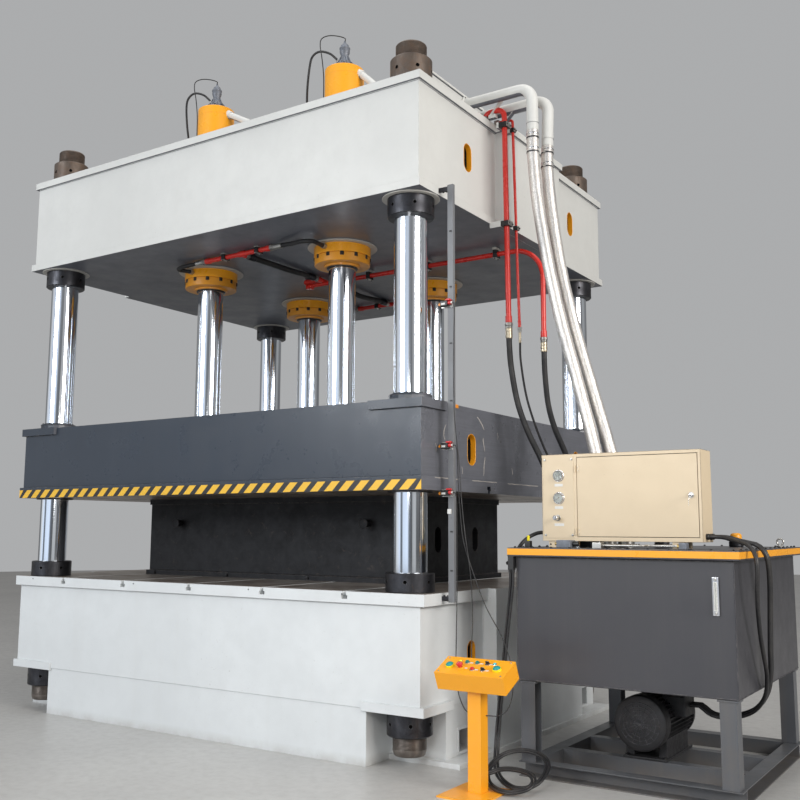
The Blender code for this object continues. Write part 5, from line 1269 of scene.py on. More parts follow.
# painted edge strips
lid.box((2.5775, -1.2962, 1.4100), (4.0785, -1.2948, 1.4510), YELLOW, 0.0005)
lid.box((4.0778, -1.2960, 1.4100), (4.0792, 0.4358, 1.4510), YELLOW, 0.0005)
lid.box((2.5768, -1.2960, 1.4100), (2.5782, 0.4358, 1.4510), YELLOW, 0.0005)
lid.box((2.5768, 0.4348, 1.4100), (4.0785, 0.4362, 1.4510), YELLOW, 0.0005)
for k in range(12):
    x = 2.62 + (4.04 - 2.62) * k / 11
    for y in (-1.262, 0.402):
        lid.bolt((x, y, 1.4568), (0, 0, 1), 0.009, BOLT)
for k in range(12):
    y = -1.12 + 1.40 * k / 11
    lid.bolt((4.045, y, 1.4568), (0, 0, 1), 0.009, BOLT)
    if not -0.70 < y < -0.28:
        lid.bolt((2.611, y, 1.4568), (0, 0, 1), 0.009, BOLT)
for x, y, r, tall in ((3.000, -0.570, 0.058, 0.080), (3.085, -0.440, 0.058, 0.080), (2.670, -0.600, 0.026, 0.060), (2.735, -0.355, 0.026, 0.060)):
    lid.ring((x, y, 1.4568), (0, 0, 1), r, r * 0.80, tall - 0.002, ZINC if r > 0.05 else TANK_GREY, 48, 0.003)
    lid.ring((x, y, 1.4568), (0, 0, 1), r * 1.32, r * 0.9, 0.014, TANK_GREY, 48, 0.003)
    if r > 0.05:
        for k in range(6):
            a = math.radians(60 * k + 15)
            lid.bolt((x + r * 1.18 * math.cos(a), y + r * 1.18 * math.sin(a), 1.4708), (0, 0, 1), 0.007, BOLT, washer=False)
    else:
        lid.hex((x, y, 1.4708), (0, 0, 1), r * 2.0, 0.022, ZINC)
# valve stack on the lid, with its solenoids
lid.box((2.850, -0.720, 1.4570), (2.930, -0.560, 1.5700), BLACKED, 0.004)
for z in (1.4960, 1.5340):
    lid.box((2.846, -0.724, z), (2.934, -0.556, z + 0.0025), ZINC, 0.0004)
lid.drum((2.890, -0.724, 1.5500), (2.890, -0.770, 1.5500), 0.024, BLACK_CAP, 32, 0.004)
lid.drum((2.890, -0.556, 1.5500), (2.890, -0.500, 1.5500), 0.024, BLACK_CAP, 32, 0.004)
lid.box((2.872, -0.548, 1.5720), (2.908, -0.512, 1.6000), BLACK_CAP, 0.003)
lid.drum((3.280, -0.250, 1.4570), (3.280, -0.250, 1.600), 0.052, BLACKED, 48, 0.006)
lid.lathe([(0, 1.655), (0.030, 1.655), (0.058, 1.648), (0.062, 1.640), (0.062, 1.607), (0.058, 1.600), (0, 1.600)], BLACK_CAP, 48, Matrix.Translation((3.280, -0.250, 0)))
lid.drum((3.720, 0.050, 1.4570), (3.720, 0.050, 1.500), 0.050, BLACKED, 48, 0.006)
lid.drum((3.720, 0.050, 1.5000), (3.720, 0.050, 1.512), 0.062, ZINC, 56, 0.003)
lid.lathe([(0, 1.556), (0.022, 1.556), (0.034, 1.549), (0.040, 1.538), (0.040, 1.512), (0, 1.512)], YELLOW, 48, Matrix.Translation((3.720, 0.050, 0)))
for x, y in ((2.700, 0.330), (3.960, 0.330)):
    lid.ring((x, y, 1.4568), (0, 0, 1), 0.026, 0.008, 0.010, ZINC, 32)
    loop = [(x + 0.022 * math.cos(t * math.pi / 12), y, 1.4930 + 0.022 * math.sin(t * math.pi / 12)) for t in range(-5, 18)]
    lid.tube(loop, 0.0058, ZINC, 14)
    lid.drum((x, y, 1.4660), (x, y, 1.4740), 0.013, ZINC, 24, 0.002)
# cable box under the front-left overhang, and the small valves beside it
lid.box((2.5795, -1.2935, 1.3105), (2.6210, -1.2555, 1.4095), BLACK_CAP, 0.003)
lid.ring((2.5895, -1.2757, 1.2930), (0, 0, 1), 0.0118, 0.0092, 0.0180, BLACK_CAP, 24, 0.001)
lid.ring((2.6105, -1.2757, 1.2930), (0, 0, 1), 0.0118, 0.0092, 0.0180, BLACK_CAP, 24, 0.001)
lid.prism([(0.0, 0.0), (0.0415, 0.0), (0.0415, -0.085)], 0.150, BLACKED, Matrix(((1, 0, 0, 2.5805), (0, 0, 1, -1.2500), (0, 1, 0, 1.3995), (0, 0, 0, 1))), 0.001)
lid.done("frame", "tank_grey_paint", ["tank_lid"])

gauge = Shape("tank_level_gauge")
gauge.box((3.905, -1.2640, 1.0780), (3.945, -1.2502, 1.3020), BRIGHT, 0.003)
gauge.box((3.914, -1.2652, 1.1050), (3.936, -1.2636, 1.2750), LABEL, 0.0006)
gauge.drum((3.925, -1.2665, 1.1100), (3.925, -1.2665, 1.2700), 0.0052, GLASS, 20, 0.001)
for z in (1.092, 1.288):
    gauge.bolt((3.925, -1.2640, z), (0, -1, 0), 0.009, ZINC, washer=False)
for k in range(9):
    gauge.box((3.9300, -1.26545, 1.120 + 0.017 * k), (3.9350, -1.26515, 1.1212 + 0.017 * k), BLACK_CAP, 0.0)
gauge.done("frame", "grey_steel")

motor = Shape("power_unit_motor")
MX, MZ = 3.295, 0.335


def on_y(y):
    return aim((MX, y, MZ), (0, 1, 0))


motor.drum((MX, -0.760, MZ), (MX, -0.260, MZ), 0.148, MOTOR_BLACK, 72, 0.004)
for k in range(36):
    a = math.radians(10 * k)
    out = Vector((math.cos(a), 0, math.sin(a)))
    side = Vector((-math.sin(a), 0, math.cos(a)))
    if math.sin(a) < -0.80:
        continue
    base = Vector((MX, 0, MZ)) + out * 0.146
    turn = Matrix(((side.x, 0, out.x, base.x), (0, 1, 0, 0), (side.z, 0, out.z, base.z), (0, 0, 0, 1)))
    motor.box((-0.0020, -0.745, 0), (0.0020, -0.275, 0.027), MOTOR_BLACK, 0.0008, 1, turn)
motor.lathe([(0, 0.100), (0.150, 0.100), (0.172, 0.092), (0.177, 0.080), (0.177, 0.004), (0.172, 0), (0, 0)], MOTOR_BLACK, 72, aim((MX, -0.760, MZ), (0, -1, 0)))
for j in range(5):
    r = 0.030 + 0.025 * j
    motor.ring((MX, -0.8600, MZ), (0, -1, 0), r + 0.004, r, 0.0025, BLACKED, 48, 0.0008)
for j in range(8):
    a = math.pi * j / 8
    motor.box((-0.135, -0.0015, 0.0), (0.135, 0.0015, 0.0030), BLACKED, 0.0005, 1, aim((MX, -0.8602, MZ), (0, -1, 0)) @ Matrix.Rotation(a, 4, "Z"))
motor.lathe([(0, 0.070), (0.100, 0.070), (0.165, 0.045), (0.175, 0.030), (0.175, 0), (0, 0)], MOTOR_BLACK, 72, on_y(-0.262))
motor.drum((MX, -0.195, MZ), (MX, -0.130, MZ), 0.100, TANK_GREY, 56, 0.005)
motor.drum((MX, -0.130, MZ), (MX, 0.055, MZ), 0.078, CAST_GREY, 48, 0.010)
motor.drum((MX, 0.055, MZ), (MX, 0.088, MZ), 0.050, CAST_GREY, 40, 0.006)
for k in range(4):
    a = math.radians(45 + 90 * k)
    motor.bolt((MX + 0.062 * math.cos(a), 0.055, MZ + 0.062 * math.sin(a)), (0, 1, 0), 0.011, BOLT, washer=False)
motor.drum((MX, -0.060, MZ + 0.060), (MX, -0.060, 0.5995), 0.030, TANK_GREY, 32, 0.002)
motor.ring((MX, -0.060, 0.585), (0, 0, 1), 0.055, 0.028, 0.014, TANK_GREY, 36)
motor.box((3.1505, -0.7795, 0.0958), (3.4395, -0.2205, 0.1120), MOTOR_BLACK, 0.003)
for x in (3.185, 3.405):
    motor.box((x - 0.030, -0.740, 0.1100), (x + 0.030, -0.300, 0.2350), MOTOR_BLACK, 0.008)
    for y in (-0.700, -0.340):
        motor.bolt((x + (0.018 if x > 3.3 else -0.018), y - 0.055 if y < -0.5 else y + 0.055, 0.1120), (0, 0, 1), 0.012, BOLT)
motor.box((3.3755, -0.6395, 0.3605), (3.5260, -0.4405, 0.4905), MOTOR_BLACK, 0.008)
motor.box((3.5190, -0.6375, 0.3625), (3.5298, -0.4425, 0.4990), MOTOR_BLACK, 0.004)
motor.box((3.3800, -0.6350, 0.4905), (3.5200, -0.4450, 0.4995), MOTOR_BLACK, 0.003)
for y in (-0.540, -0.503, -0.466):
    motor.drum((3.5296, y, 0.430), (3.5306, y, 0.430), 0.0170, BLACK_CAP, 24, 0.0003)
motor.done("frame", "black_rubber", ["pump_motor"])

# ---- cabinet: shell, gauge panel, hinges
cab = Shape("switch_cabinet_shell")
X0, X1, Y0, Y1, Z0, Z1 = 2.7003, 3.7897, -0.9997, -0.7803, 1.5003, 2.0847
cab.box((X0, Y1 - 0.003, Z0), (X1, Y1, Z1), CREAM, 0.002)
cab.box((X0, Y0, Z0), (X0 + 0.003, Y1, Z1), CREAM, 0.001)
cab.box((X1 - 0.003, Y0, Z0), (X1, Y1, Z1), CREAM, 0.001)
cab.box((X0, Y0, Z1 - 0.003), (X1, Y1, Z1), CREAM, 0.001)
cab.box((X0, Y0, Z0), (X1, Y1, Z0 + 0.003), CREAM, 0.001)
cab.box((X0, Y0, Z0), (2.9535, Y0 + 0.003, Z1), CREAM, 0.001)
cab.box((2.9510, Y0 + 0.003, Z0 + 0.003), (2.9540, Y1 - 0.004, Z1 - 0.003), CREAM, 0.0)
cab.box((2.9535, Y0, 2.0625), (X1, Y0 + 0.003, Z1), CREAM, 0.001)
cab.box((2.9535, Y0, Z0), (X1, Y0 + 0.003, 1.5275), CREAM, 0.001)
cab.box((3.7705, Y0, 1.5275), (X1, Y0 + 0.003, 2.0625), CREAM, 0.001)
for a, b in (((2.9535, Y0 + 0.003, 2.0500), (3.7705, Y0 + 0.016, 2.0620)), ((2.9535, Y0 + 0.003, 1.5280), (3.7705, Y0 + 0.016, 1.5400))):
    cab.box((a[0], -0.9830, a[2]), (b[0], -0.9760, b[2]), BLACK_CAP, 0.001)
for x in (2.780, 3.630):
    for y in (-0.970, -0.840):
        cab.box((x - 0.0395, y - 0.0195, 1.4575), (x + 0.0395, y + 0.0195, 1.5010), CREAM, 0.003)
        for dx in (-0.025, 0.025):
            if y < -0.9:
                cab.bolt((x + dx, y - 0.0195, 1.478), (0, -1, 0), 0.007, BOLT, washer=False)
cab.box((2.7100, Y0 - 0.0025, 1.5200), (2.9350, Y0 - 0.0002, 2.0700), CREAM, 0.001)
for x in (2.7250, 2.9210):
    for z in (1.5400, 2.0500):
        cab.bolt((x, Y0 - 0.0025, z), (0, -1, 0), 0.008, ZINC, washer=True)
# mounting plate with rows of terminals and relays inside
cab.box((3.000, -0.7960, 1.5500), (3.740, -0.7930, 2.0450), ZINC, 0.001)
for z in (1.640, 1.800, 1.950):
    cab.box((3.020, -0.8040, z - 0.0175), (3.720, -0.7960, z + 0.0175), ZINC, 0.001)
for j in range(9):
    cab.box((3.035 + 0.075 * j, -0.8720, 1.9150), (3.035 + 0.075 * j + 0.045, -0.8050, 1.9880), BLACK_CAP if j % 3 else WHITE_CAP, 0.003)
for j in range(7):
    cab.box((3.035 + 0.095 * j, -0.8850, 1.7600), (3.035 + 0.095 * j + 0.070, -0.8050, 1.8420), WHITE_CAP if j % 2 else BLACK_CAP, 0.004)
for j in range(38):
    cab.box((3.030 + 0.018 * j, -0.8480, 1.6150), (3.030 + 0.018 * j + 0.0150, -0.8050, 1.6640), WHITE_CAP if j % 6 else ORANGE_CAP, 0.001)
for x in (3.7900,):
    for y in (-0.930, -0.850, -0.815):
        cab.ring((x + 0.0001, y, 1.535), (1, 0, 0), 0.0195, 0.0125, 0.0180, BLACK_CAP, 24, 0.002)
for z in (1.983, 1.561):
    cab.drum((2.9455, -1.0040, z - 0.024), (2.9455, -1.0040, z + 0.024), 0.0040, CREAM, 20, 0.001)
cab.done("frame", "cream_enamel", ["cabinet"])


def dial(shape, at, r):
    """A round pressure gauge: case, bezel, dial, scale, hand and glass."""
    c = Vector(at)
    out = Vector((0, -1, 0))
    turn = aim(c, out)
    shape.lathe([(0, 0.004), (r * 1.16, 0.004), (r * 1.20, 0.002), (r * 1.20, 0.0), (0, 0)], BRIGHT, 56, turn)
    shape.lathe([(r * 0.90, 0.014), (r * 1.00, 0.016), (r * 1.06, 0.013), (r * 1.08, 0.004), (r * 0.90, 0.004)], BRIGHT, 64, turn)
    shape.lathe([(0, 0.0065), (r * 0.935, 0.0065), (r * 0.935, 0.004), (0, 0.004)], DIAL, 56, turn)
    for k in range(31):
        a = math.radians(225 - 9 * k)
        tall = 0.14 if k % 5 == 0 else 0.08
        u = Vector((math.cos(a), 0, math.sin(a)))
        at_tick = c + out * 0.0066 + u * r * (0.84 - tall / 2)
        side = Vector((-math.sin(a), 0, math.cos(a)))
        m = Matrix(((u.x, side.x, 0, at_tick.x), (0, 0, -1, at_tick.y), (u.z, side.z, 0, at_tick.z), (0, 0, 0, 1)))
        w = 0.0006 if k % 5 == 0 else 0.0003
        shape.box((-r * tall / 2, -w, 0), (r * tall / 2, w, 0.0004), BLACK_CAP, 0.0, 1, m)
    a = math.radians(215)
    u, side = Vector((math.cos(a), 0, math.sin(a))), Vector((-math.sin(a), 0, math.cos(a)))
    hub = c + out * 0.0080
    m = Matrix(((u.x, side.x, 0, hub.x), (0, 0, -1, hub.y), (u.z, side.z, 0, hub.z), (0, 0, 0, 1)))
    shape.prism([(-r * 0.22, -0.0013), (r * 0.72, -0.0004), (r * 0.72, 0.0004), (-r * 0.22, 0.0013)], 0.0008, BLACK_CAP, m)
    shape.drum(hub, hub + out * 0.0022, r * 0.09, BRASS, 20, 0.0004)
    shape.lathe([(0, 0.0136), (r * 0.935, 0.0128), (r * 0.935, 0.0116), (0, 0.0122)], GLASS, 48, turn)


gauges = Shape("cabinet_gauges")
for z in (1.940, 1.788):
    dial(gauges, (2.825, Y0 - 0.0026, z), 0.035)
    gauges.box((2.795, Y0 - 0.0036, z - 0.073), (2.855, Y0 - 0.0026, z - 0.055), LABEL, 0.0004)
gauges.box((2.790, Y0 - 0.0036, 1.600), (2.860, Y0 - 0.0026, 1.618), LABEL, 0.0004)
gauges.ring((2.815, Y0 - 0.0026, 1.655), (0, -1, 0), 0.021, 0.0105, 0.005, ZINC, 40, 0.001)
gauges.done("frame", "cream_enamel")

knob = Shape("regulator_knob_cap")
knob.drum((2.815, -1.0008, 1.655), (2.815, -1.022, 1.655), 0.0095, ZINC, 32, 0.001)
profile = [(0, 0.034), (0.0135, 0.034), (0.0155, 0.0325), (0.0165, 0.030), (0.0165, 0.004), (0.0150, 0.001), (0, 0.001)]
knob.lathe(profile, BRIGHT, 56, aim((2.815, -1.0215, 1.655), (0, -1, 0)))
for k in range(20):
    a = math.radians(18 * k)
    c = Vector((2.815 + 0.0163 * math.cos(a), -1.0260, 1.655 + 0.0163 * math.sin(a)))
    knob.drum(c, c + Vector((0, -0.024, 0)), 0.0011, ZINC, 8, 0.0003)
knob.box((2.8144, -1.0559, 1.6580), (2.8156, -1.0553, 1.6690), LABEL, 0.0)
knob.done("regulator_knob", "black_plastic", ["regulator_knob"])

door = Shape("cabinet_door_leaf")
door.box((2.9573, -0.9997, 1.5313), (3.7667, -0.9977, 2.0587), CREAM, 0.0008)
for a, b in (((2.9573, 1.5313), (2.9593, 2.0587)), ((3.7647, 1.5313), (3.7667, 2.0587))):
    door.box((a[0], -0.9980, a[1]), (b[0], -0.9843, b[1]), CREAM, 0.0005)
for z in (1.5313, 2.0567):
    door.box((2.9573, -0.9980, z), (3.7667, -0.9843, z + 0.0020), CREAM, 0.0005)
door.box((2.9650, -0.9975, 1.5400), (3.7590, -0.9935, 1.5500), BLACK_CAP, 0.001)
door.box((2.9650, -0.9975, 2.0400), (3.7590, -0.9935, 2.0500), BLACK_CAP, 0.001)
door.box((3.7490, -0.9975, 1.5500), (3.7590, -0.9935, 2.0400), BLACK_CAP, 0.001)
for z in (1.983, 1.561):
    door.box((2.9590, -1.0018, z - 0.022), (2.9760, -0.9997, z + 0.022), CREAM, 0.0006)
    for dz in (-0.016, 0.016):
        door.bolt((2.9680, -1.0018, z + dz * 0.8), (0, -1, 0), 0.0035, ZINC, washer=False)
door.box((3.020, -0.9950, 1.620), (3.330, -0.9930, 1.930), DIAL, 0.0)
door.ring((3.724, -0.9997, 1.796), (0, -1, 0), 0.019, 0.0132, 0.0035, ZINC, 40, 0.0008)
door.done("cabinet_door", "cream_enamel", ["cabinet_door"])

lock = Shape("door_lock_barrel")
lock.lathe([(0, 0.0150), (0.0100, 0.0150), (0.0125, 0.0135), (0.0130, 0.0120), (0.0130, 0.0), (0, 0.0)], BRIGHT, 48, aim((3.724, -1.0006, 1.796), (0, -1, 0)))
# a flat black slot in the lock: painted shade of the keyway
lock.box((3.7233, -1.0182, 1.7895), (3.7247, -1.0150, 1.8025), HOLE_SHADE, 0.0)
lock.box((3.7200, -1.0180, 1.7950), (3.7280, -1.0155, 1.7968), BLACK_CAP, 0.0)
lock.done("door_lock", "grey_steel", ["door_lock"])
key = Shape("door_key")
key.box((3.7231, -1.0420, 1.7915), (3.7249, -1.0156, 1.8005), BRIGHT, 0.0004)
key.ring((3.7228, -1.0460, 1.7960), (1, 0, 0), 0.0110, 0.0050, 0.0024, BRIGHT, 32, 0.0006)
loop = [(3.7240 + 0.002 * math.sin(t / 12 * 2 * math.pi), -1.0500 - 0.013 * math.sin(t / 12 * math.pi) ** 2, 1.7890 - 0.017 + 0.017 * math.cos(t / 12 * 2 * math.pi)) for t in range(13)]
key.tube(loop, 0.0009, BRIGHT, 8)
key.box((3.7225, -1.0580, 1.7280), (3.7243, -1.0490, 1.7590), BRIGHT, 0.0004)
key.done("door_lock", "grey_steel")

# ================================================================ operator stand
PANEL = Matrix.Translation((2.615, -1.8195, 0.7475)) @ Matrix.Rotation(math.radians(24), 4, "X")
HEAD_W, HEAD_D, HEAD_T = 0.470, 0.192, 0.115
finish_node("console", YELLOW)
stand = Shape("stand_head_and_post")
stand.box((-HEAD_W / 2 + 0.0003, -HEAD_D / 2 + 0.0003, -HEAD_T + 0.0003), (HEAD_W / 2 - 0.0003, HEAD_D / 2 - 0.0003, -0.0028), YELLOW, 0.010, 4, PANEL)
stand.box((-HEAD_W / 2 + 0.012, -HEAD_D / 2 + 0.010, -0.0030), (HEAD_W / 2 - 0.012, HEAD_D / 2 - 0.010, -0.0004), YELLOW, 0.001, 2, PANEL)
for u in (-1, 1):
    for v in (-1, 1):
        at = PANEL @ Vector((u * (HEAD_W / 2 - 0.022), v * (HEAD_D / 2 - 0.020), -0.0004))
        stand.bolt(at, PANEL.to_3x3() @ Vector((0, 0, 1)), 0.0055, ZINC, washer=True)
stand.done("frame", "yellow_paint")
# round bezels, lamps and blank strips beside the buttons
face = Shape("stand_panel_fittings")
up = PANEL.to_3x3() @ Vector((0, 0, 1))
CONTROLS = {"palm_button_left": (-0.165, -0.012), "emergency_stop": (-0.088, -0.020), "push_button_a": (-0.068, 0.040), "push_button_b": (0.002, 0.040), "push_button_red": (0.000, -0.030),
            "selector_upper": (0.072, 0.040), "selector_lower": (0.072, -0.030), "palm_button_right": (0.160, -0.012)}


def on_panel(u, v, w=0.0):
    return PANEL @ Vector((u, v, w))


for key, (u, v) in CONTROLS.items():
    if key.startswith("palm"):
        face.lathe([(0.0238, 0.0126), (0.0250, 0.0134), (0.0268, 0.0130), (0.0280, 0.0110), (0.0290, 0.0002), (0.0238, 0.0002)], LEMON, 56, PANEL @ Matrix.Translation((u, v, 0)))
    elif key == "emergency_stop":
        face.lathe([(0.0130, 0.0060), (0.0200, 0.0060), (0.0250, 0.0045), (0.0262, 0.0025), (0.0262, 0.0002), (0.0130, 0.0002)], YELLOW, 56, PANEL @ Matrix.Translation((u, v, 0)))
    else:
        face.lathe([(0.0122, 0.0050), (0.0142, 0.0054), (0.0160, 0.0040), (0.0162, 0.0002), (0.0122, 0.0002)], BRIGHT, 48, PANEL @ Matrix.Translation((u, v, 0)))
        face.box((u + 0.0180, v - 0.0040, 0.0), (u + 0.0400, v + 0.0060, 0.0010), LABEL, 0.0003, 1, PANEL)
for u, v, mat in ((-0.120, 0.045, AMBER), (0.118, 0.045, CYAN)):
    face.lathe([(0.0096, 0.0042), (0.0118, 0.0046), (0.0132, 0.0030), (0.0134, 0.0002), (0.0096, 0.0002)], BRIGHT, 48, PANEL @ Matrix.Translation((u, v, 0)))
    face.lathe([(0, 0.0110), (0.0040, 0.0106), (0.0078, 0.0088), (0.0094, 0.0060), (0.0094, 0.0004), (0, 0.0004)], mat, 40, PANEL @ Matrix.Translation((u, v, 0)))
face.box((-0.0560, -0.0260, 0.0), (-0.0380, -0.0170, 0.0010), LABEL, 0.0003, 1, PANEL)
face.done("frame", "yellow_paint")
base = Shape("stand_base_fittings")
base.weld((2.553, -1.8005, 0.0125), (2.647, -1.8005, 0.0125), 0.005, YELLOW)
for x in (2.5545, 2.6455):
    base.weld((x, -1.799, 0.0125), (x, -1.712, 0.0125), 0.005, YELLOW)
# glands where the two cables enter the post
for dx in (-0.0102, 0.0102):
    base.ring((2.600 + dx, -1.7098, 0.090), (0, 1, 0), 0.0098, 0.0088, 0.0010, BLACK_CAP, 24, 0.0002)
base.done("frame", "yellow_paint")

CAPS = {"palm_button_left": TEAL, "palm_button_right": TEAL, "emergency_stop": RED_CAP, "push_button_red": RED_CAP, "push_button_a": GREEN_CAP, "push_button_b": GREEN_CAP, "selector_upper": BLACK_CAP, "selector_lower": BLACK_CAP}
SLOTS = {"push_button_a": "teal_plastic", "push_button_b": "teal_plastic", "palm_button_left": "teal_plastic", "palm_button_right": "teal_plastic", "emergency_stop": "red_plastic", "push_button_red": "red_plastic"}
for key, (u, v) in CONTROLS.items():
    cap = Shape(key + "_cap")
    at = PANEL @ Matrix.Translation((u, v, 0))
    mat = CAPS[key]
    if key.startswith("palm"):
        cap.lathe([(0, 0.0238), (0.010, 0.0234), (0.0165, 0.0215), (0.0210, 0.0175), (0.0224, 0.0135), (0.0216, 0.0108), (0.0130, 0.0106), (0.0130, 0.0066), (0, 0.0066)], mat, 64, at)
    elif key == "emergency_stop":
        cap.lathe([(0, 0.0358), (0.012, 0.0352), (0.0180, 0.0330), (0.0203, 0.0290), (0.0204, 0.0235), (0.0185, 0.0205), (0.0120, 0.0195), (0.0118, 0.0056), (0, 0.0056)], mat, 64, at)
        for k in range(3):
            cap.box((0.006, -0.0008, 0.0352), (0.014, 0.0008, 0.0362), WHITE_CAP, 0.0003, 1, at @ Matrix.Rotation(math.radians(120 * k), 4, "Z") @ Matrix.Translation((0, 0, -0.0006)))
    elif key.startswith("push"):
        cap.lathe([(0, 0.0128), (0.0085, 0.0130), (0.0100, 0.0138), (0.0112, 0.0128), (0.0113, 0.0046), (0, 0.0046)], mat, 48, at)
    else:
        cap.lathe([(0, 0.0098), (0.0105, 0.0098), (0.0121, 0.0082), (0.0122, 0.0012), (0, 0.0012)], mat, 48, at)
        cap.box((-0.0118, -0.0040, 0.0090), (0.0118, 0.0040, 0.0218), mat, 0.0022, 3, at)
        cap.box((0.0020, -0.0006, 0.0212), (0.0108, 0.0006, 0.0222), WHITE_CAP, 0.0001, 1, at)
    cap.done(key, SLOTS.get(key, "black_plastic"), [key])

# ================================================================ cables of the stand and of the cabinet
LOOP_NORMAL = Vector((0, -math.sin(math.radians(21)), math.cos(math.radians(21))))


def loop_point(x, y, lift):
    return Vector((x, y, 0.002 + (y + 1.660) * math.tan(math.radians(21)))) + LOOP_NORMAL * lift


STAND_ROUTE = [
    (2.600, -1.276, 1.309), (2.600, -1.276, 1.230), (2.583, -1.278, 1.070), (2.553, -1.282, 0.830), (2.526, -1.290, 0.560), (2.508, -1.308, 0.330),
    (2.516, -1.350, 0.180), loop_point(2.562, -1.446, 0.004), loop_point(2.642, -1.546, 0.004), loop_point(2.750, -1.608, 0.004), loop_point(2.840, -1.606, 0.006),
    loop_point(2.893, -1.552, 0.010), loop_point(2.908, -1.460, 0.014), loop_point(2.880, -1.362, 0.018), loop_point(2.812, -1.302, 0.023), loop_point(2.725, -1.284, 0.029),
    loop_point(2.645, -1.308, 0.037), loop_point(2.585, -1.375, 0.045), loop_point(2.560, -1.470, 0.047), loop_point(2.572, -1.570, 0.045), loop_point(2.628, -1.655, 0.043),
    loop_point(2.715, -1.703, 0.043), loop_point(2.812, -1.710, 0.047), loop_point(2.890, -1.674, 0.054), loop_point(2.908, -1.606, 0.060), loop_point(2.862, -1.550, 0.063),
    loop_point(2.788, -1.530, 0.065), loop_point(2.712, -1.534, 0.069), loop_point(2.650, -1.565, 0.074), loop_point(2.611, -1.618, 0.078), (2.600, -1.672, 0.090), (2.600, -1.709, 0.090),
]
STAND_LINE = smooth_route(STAND_ROUTE, 0.045)


def strand(line, side):
    moved = []
    for k, p in enumerate(line):
        ahead = (line[min(k + 1, len(line) - 1)] - line[max(k - 1, 0)]).normalized()
        moved.append(p + ahead.cross(LOOP_NORMAL).normalized() * side)
    return moved


def finer(line):
    """The same line with twice the points, still within its own thickness."""
    out = [line[0]]
    for k in range(len(line) - 1):
        a, b, c, d = line[max(k - 1, 0)], line[k], line[k + 1], line[min(k + 2, len(line) - 1)]
        out.append((b + c) * 0.5625 - (a + d) * 0.0625 if 0 < k < len(line) - 2 else (b + c) / 2)
        out.append(c)
    return out


for key, side in (("console_cable_a", -0.0102), ("console_cable_b", 0.0102)):
    cord(key + "_jacket", finer(strand(STAND_LINE, side)), 0.018, CABLE, replaces=[key], slot="black_rubber", sides=16)

CABINET_CABLES = {
    "cabinet_cable_a": [(3.791, -0.930, 1.535), (3.850, -0.930, 1.535), (3.900, -0.945, 1.532), (3.960, -0.980, 1.518), (4.030, -1.045, 1.503), (4.090, -1.105, 1.484), (4.132, -1.145, 1.430), (4.142, -1.155, 1.350), (4.130, -1.125, 1.230),
                        (4.115, -1.065, 1.100), (4.103, -0.985, 0.960), (4.097, -0.900, 0.830), (4.088, -0.800, 0.690), (4.045, -0.700, 0.550), (3.950, -0.620, 0.440), (3.800, -0.565, 0.380), (3.670, -0.543, 0.380), (3.590, -0.540, 0.430), (3.531, -0.540, 0.430)],
    "cabinet_cable_b": [(3.791, -0.850, 1.535), (3.850, -0.850, 1.535), (3.900, -0.852, 1.531), (3.960, -0.862, 1.514), (4.030, -0.882, 1.500), (4.090, -0.900, 1.484), (4.134, -0.902, 1.430), (4.144, -0.885, 1.350), (4.134, -0.835, 1.230),
                        (4.118, -0.785, 1.100), (4.108, -0.762, 0.980), (4.102, -0.755, 0.860), (4.090, -0.725, 0.700), (4.045, -0.655, 0.560), (3.950, -0.580, 0.450), (3.800, -0.528, 0.385), (3.670, -0.506, 0.380), (3.590, -0.503, 0.430), (3.531, -0.503, 0.430)],
}
for key, route in CABINET_CABLES.items():
    cord(key + "_jacket", smooth_route(route, 0.033), 0.026, CABLE, replaces=[key], slot="black_rubber", sides=18)
third = [(x + (0.0005 if x < 3.8 and z > 1 else 0.0), y + 0.035, z) for x, y, z in CABINET_CABLES["cabinet_cable_b"]]
cord("cabinet_cable_c", smooth_route(third, 0.033), 0.026, CABLE, sides=18)

# small hoses and valves at the lid's front-left corner
small = Shape("corner_valves")
small.ring((2.7002, -0.9200, 1.5560), (-1, 0, 0), 0.021, 0.0135, 0.016, BLACK_CAP, 32, 0.002)
small.box((2.6050, -1.0900, 1.4570), (2.6450, -1.0500, 1.5000), BLACK_CAP, 0.004)
small.drum((2.6250, -1.0700, 1.5000), (2.6250, -1.0700, 1.5360), 0.0090, LEMON, 24, 0.002)
small.box((2.860, -1.1400, 1.4570), (2.960, -1.0500, 1.5080), CAST_GREY, 0.005)
small.drum((2.960, -1.0950, 1.4830), (3.000, -1.0950, 1.4830), 0.017, BLACK_CAP, 32, 0.003)
small.drum((2.860, -1.0950, 1.4830), (2.835, -1.0950, 1.4830), 0.012, BRASS, 24, 0.002)
small.box((3.120, -1.1600, 1.4570), (3.180, -1.1000, 1.4950), ZINC, 0.003)
small.tube(piped([(3.180, -1.130, 1.476), (3.450, -1.130, 1.476), (3.450, -1.050, 1.476), (3.640, -1.050, 1.476)], 0.030, 8), 0.0075, ZINC, 16)
small.hex((3.640, -1.050, 1.476), (1, 0, 0), 0.022, 0.016, BRASS)
small.box((3.656, -1.075, 1.4570), (3.706, -1.025, 1.4980), CAST_GREY, 0.004)
small.done("frame", "grey_steel")
arc = [(2.6995, -0.9200, 1.5560), (2.6700, -0.9210, 1.5560), (2.6350, -0.9400, 1.5520), (2.5950, -0.9750, 1.5300), (2.5600, -1.0200, 1.4900), (2.5420, -1.0700, 1.4350), (2.5390, -1.1300, 1.3850), (2.5450, -1.1950, 1.3580),
       (2.5560, -1.2440, 1.3540), (2.5680, -1.2650, 1.3550), (2.5790, -1.2745, 1.3560)]
cord("corner_hose", smooth_route(arc, 0.020), 0.026, HOSE, sides=16)

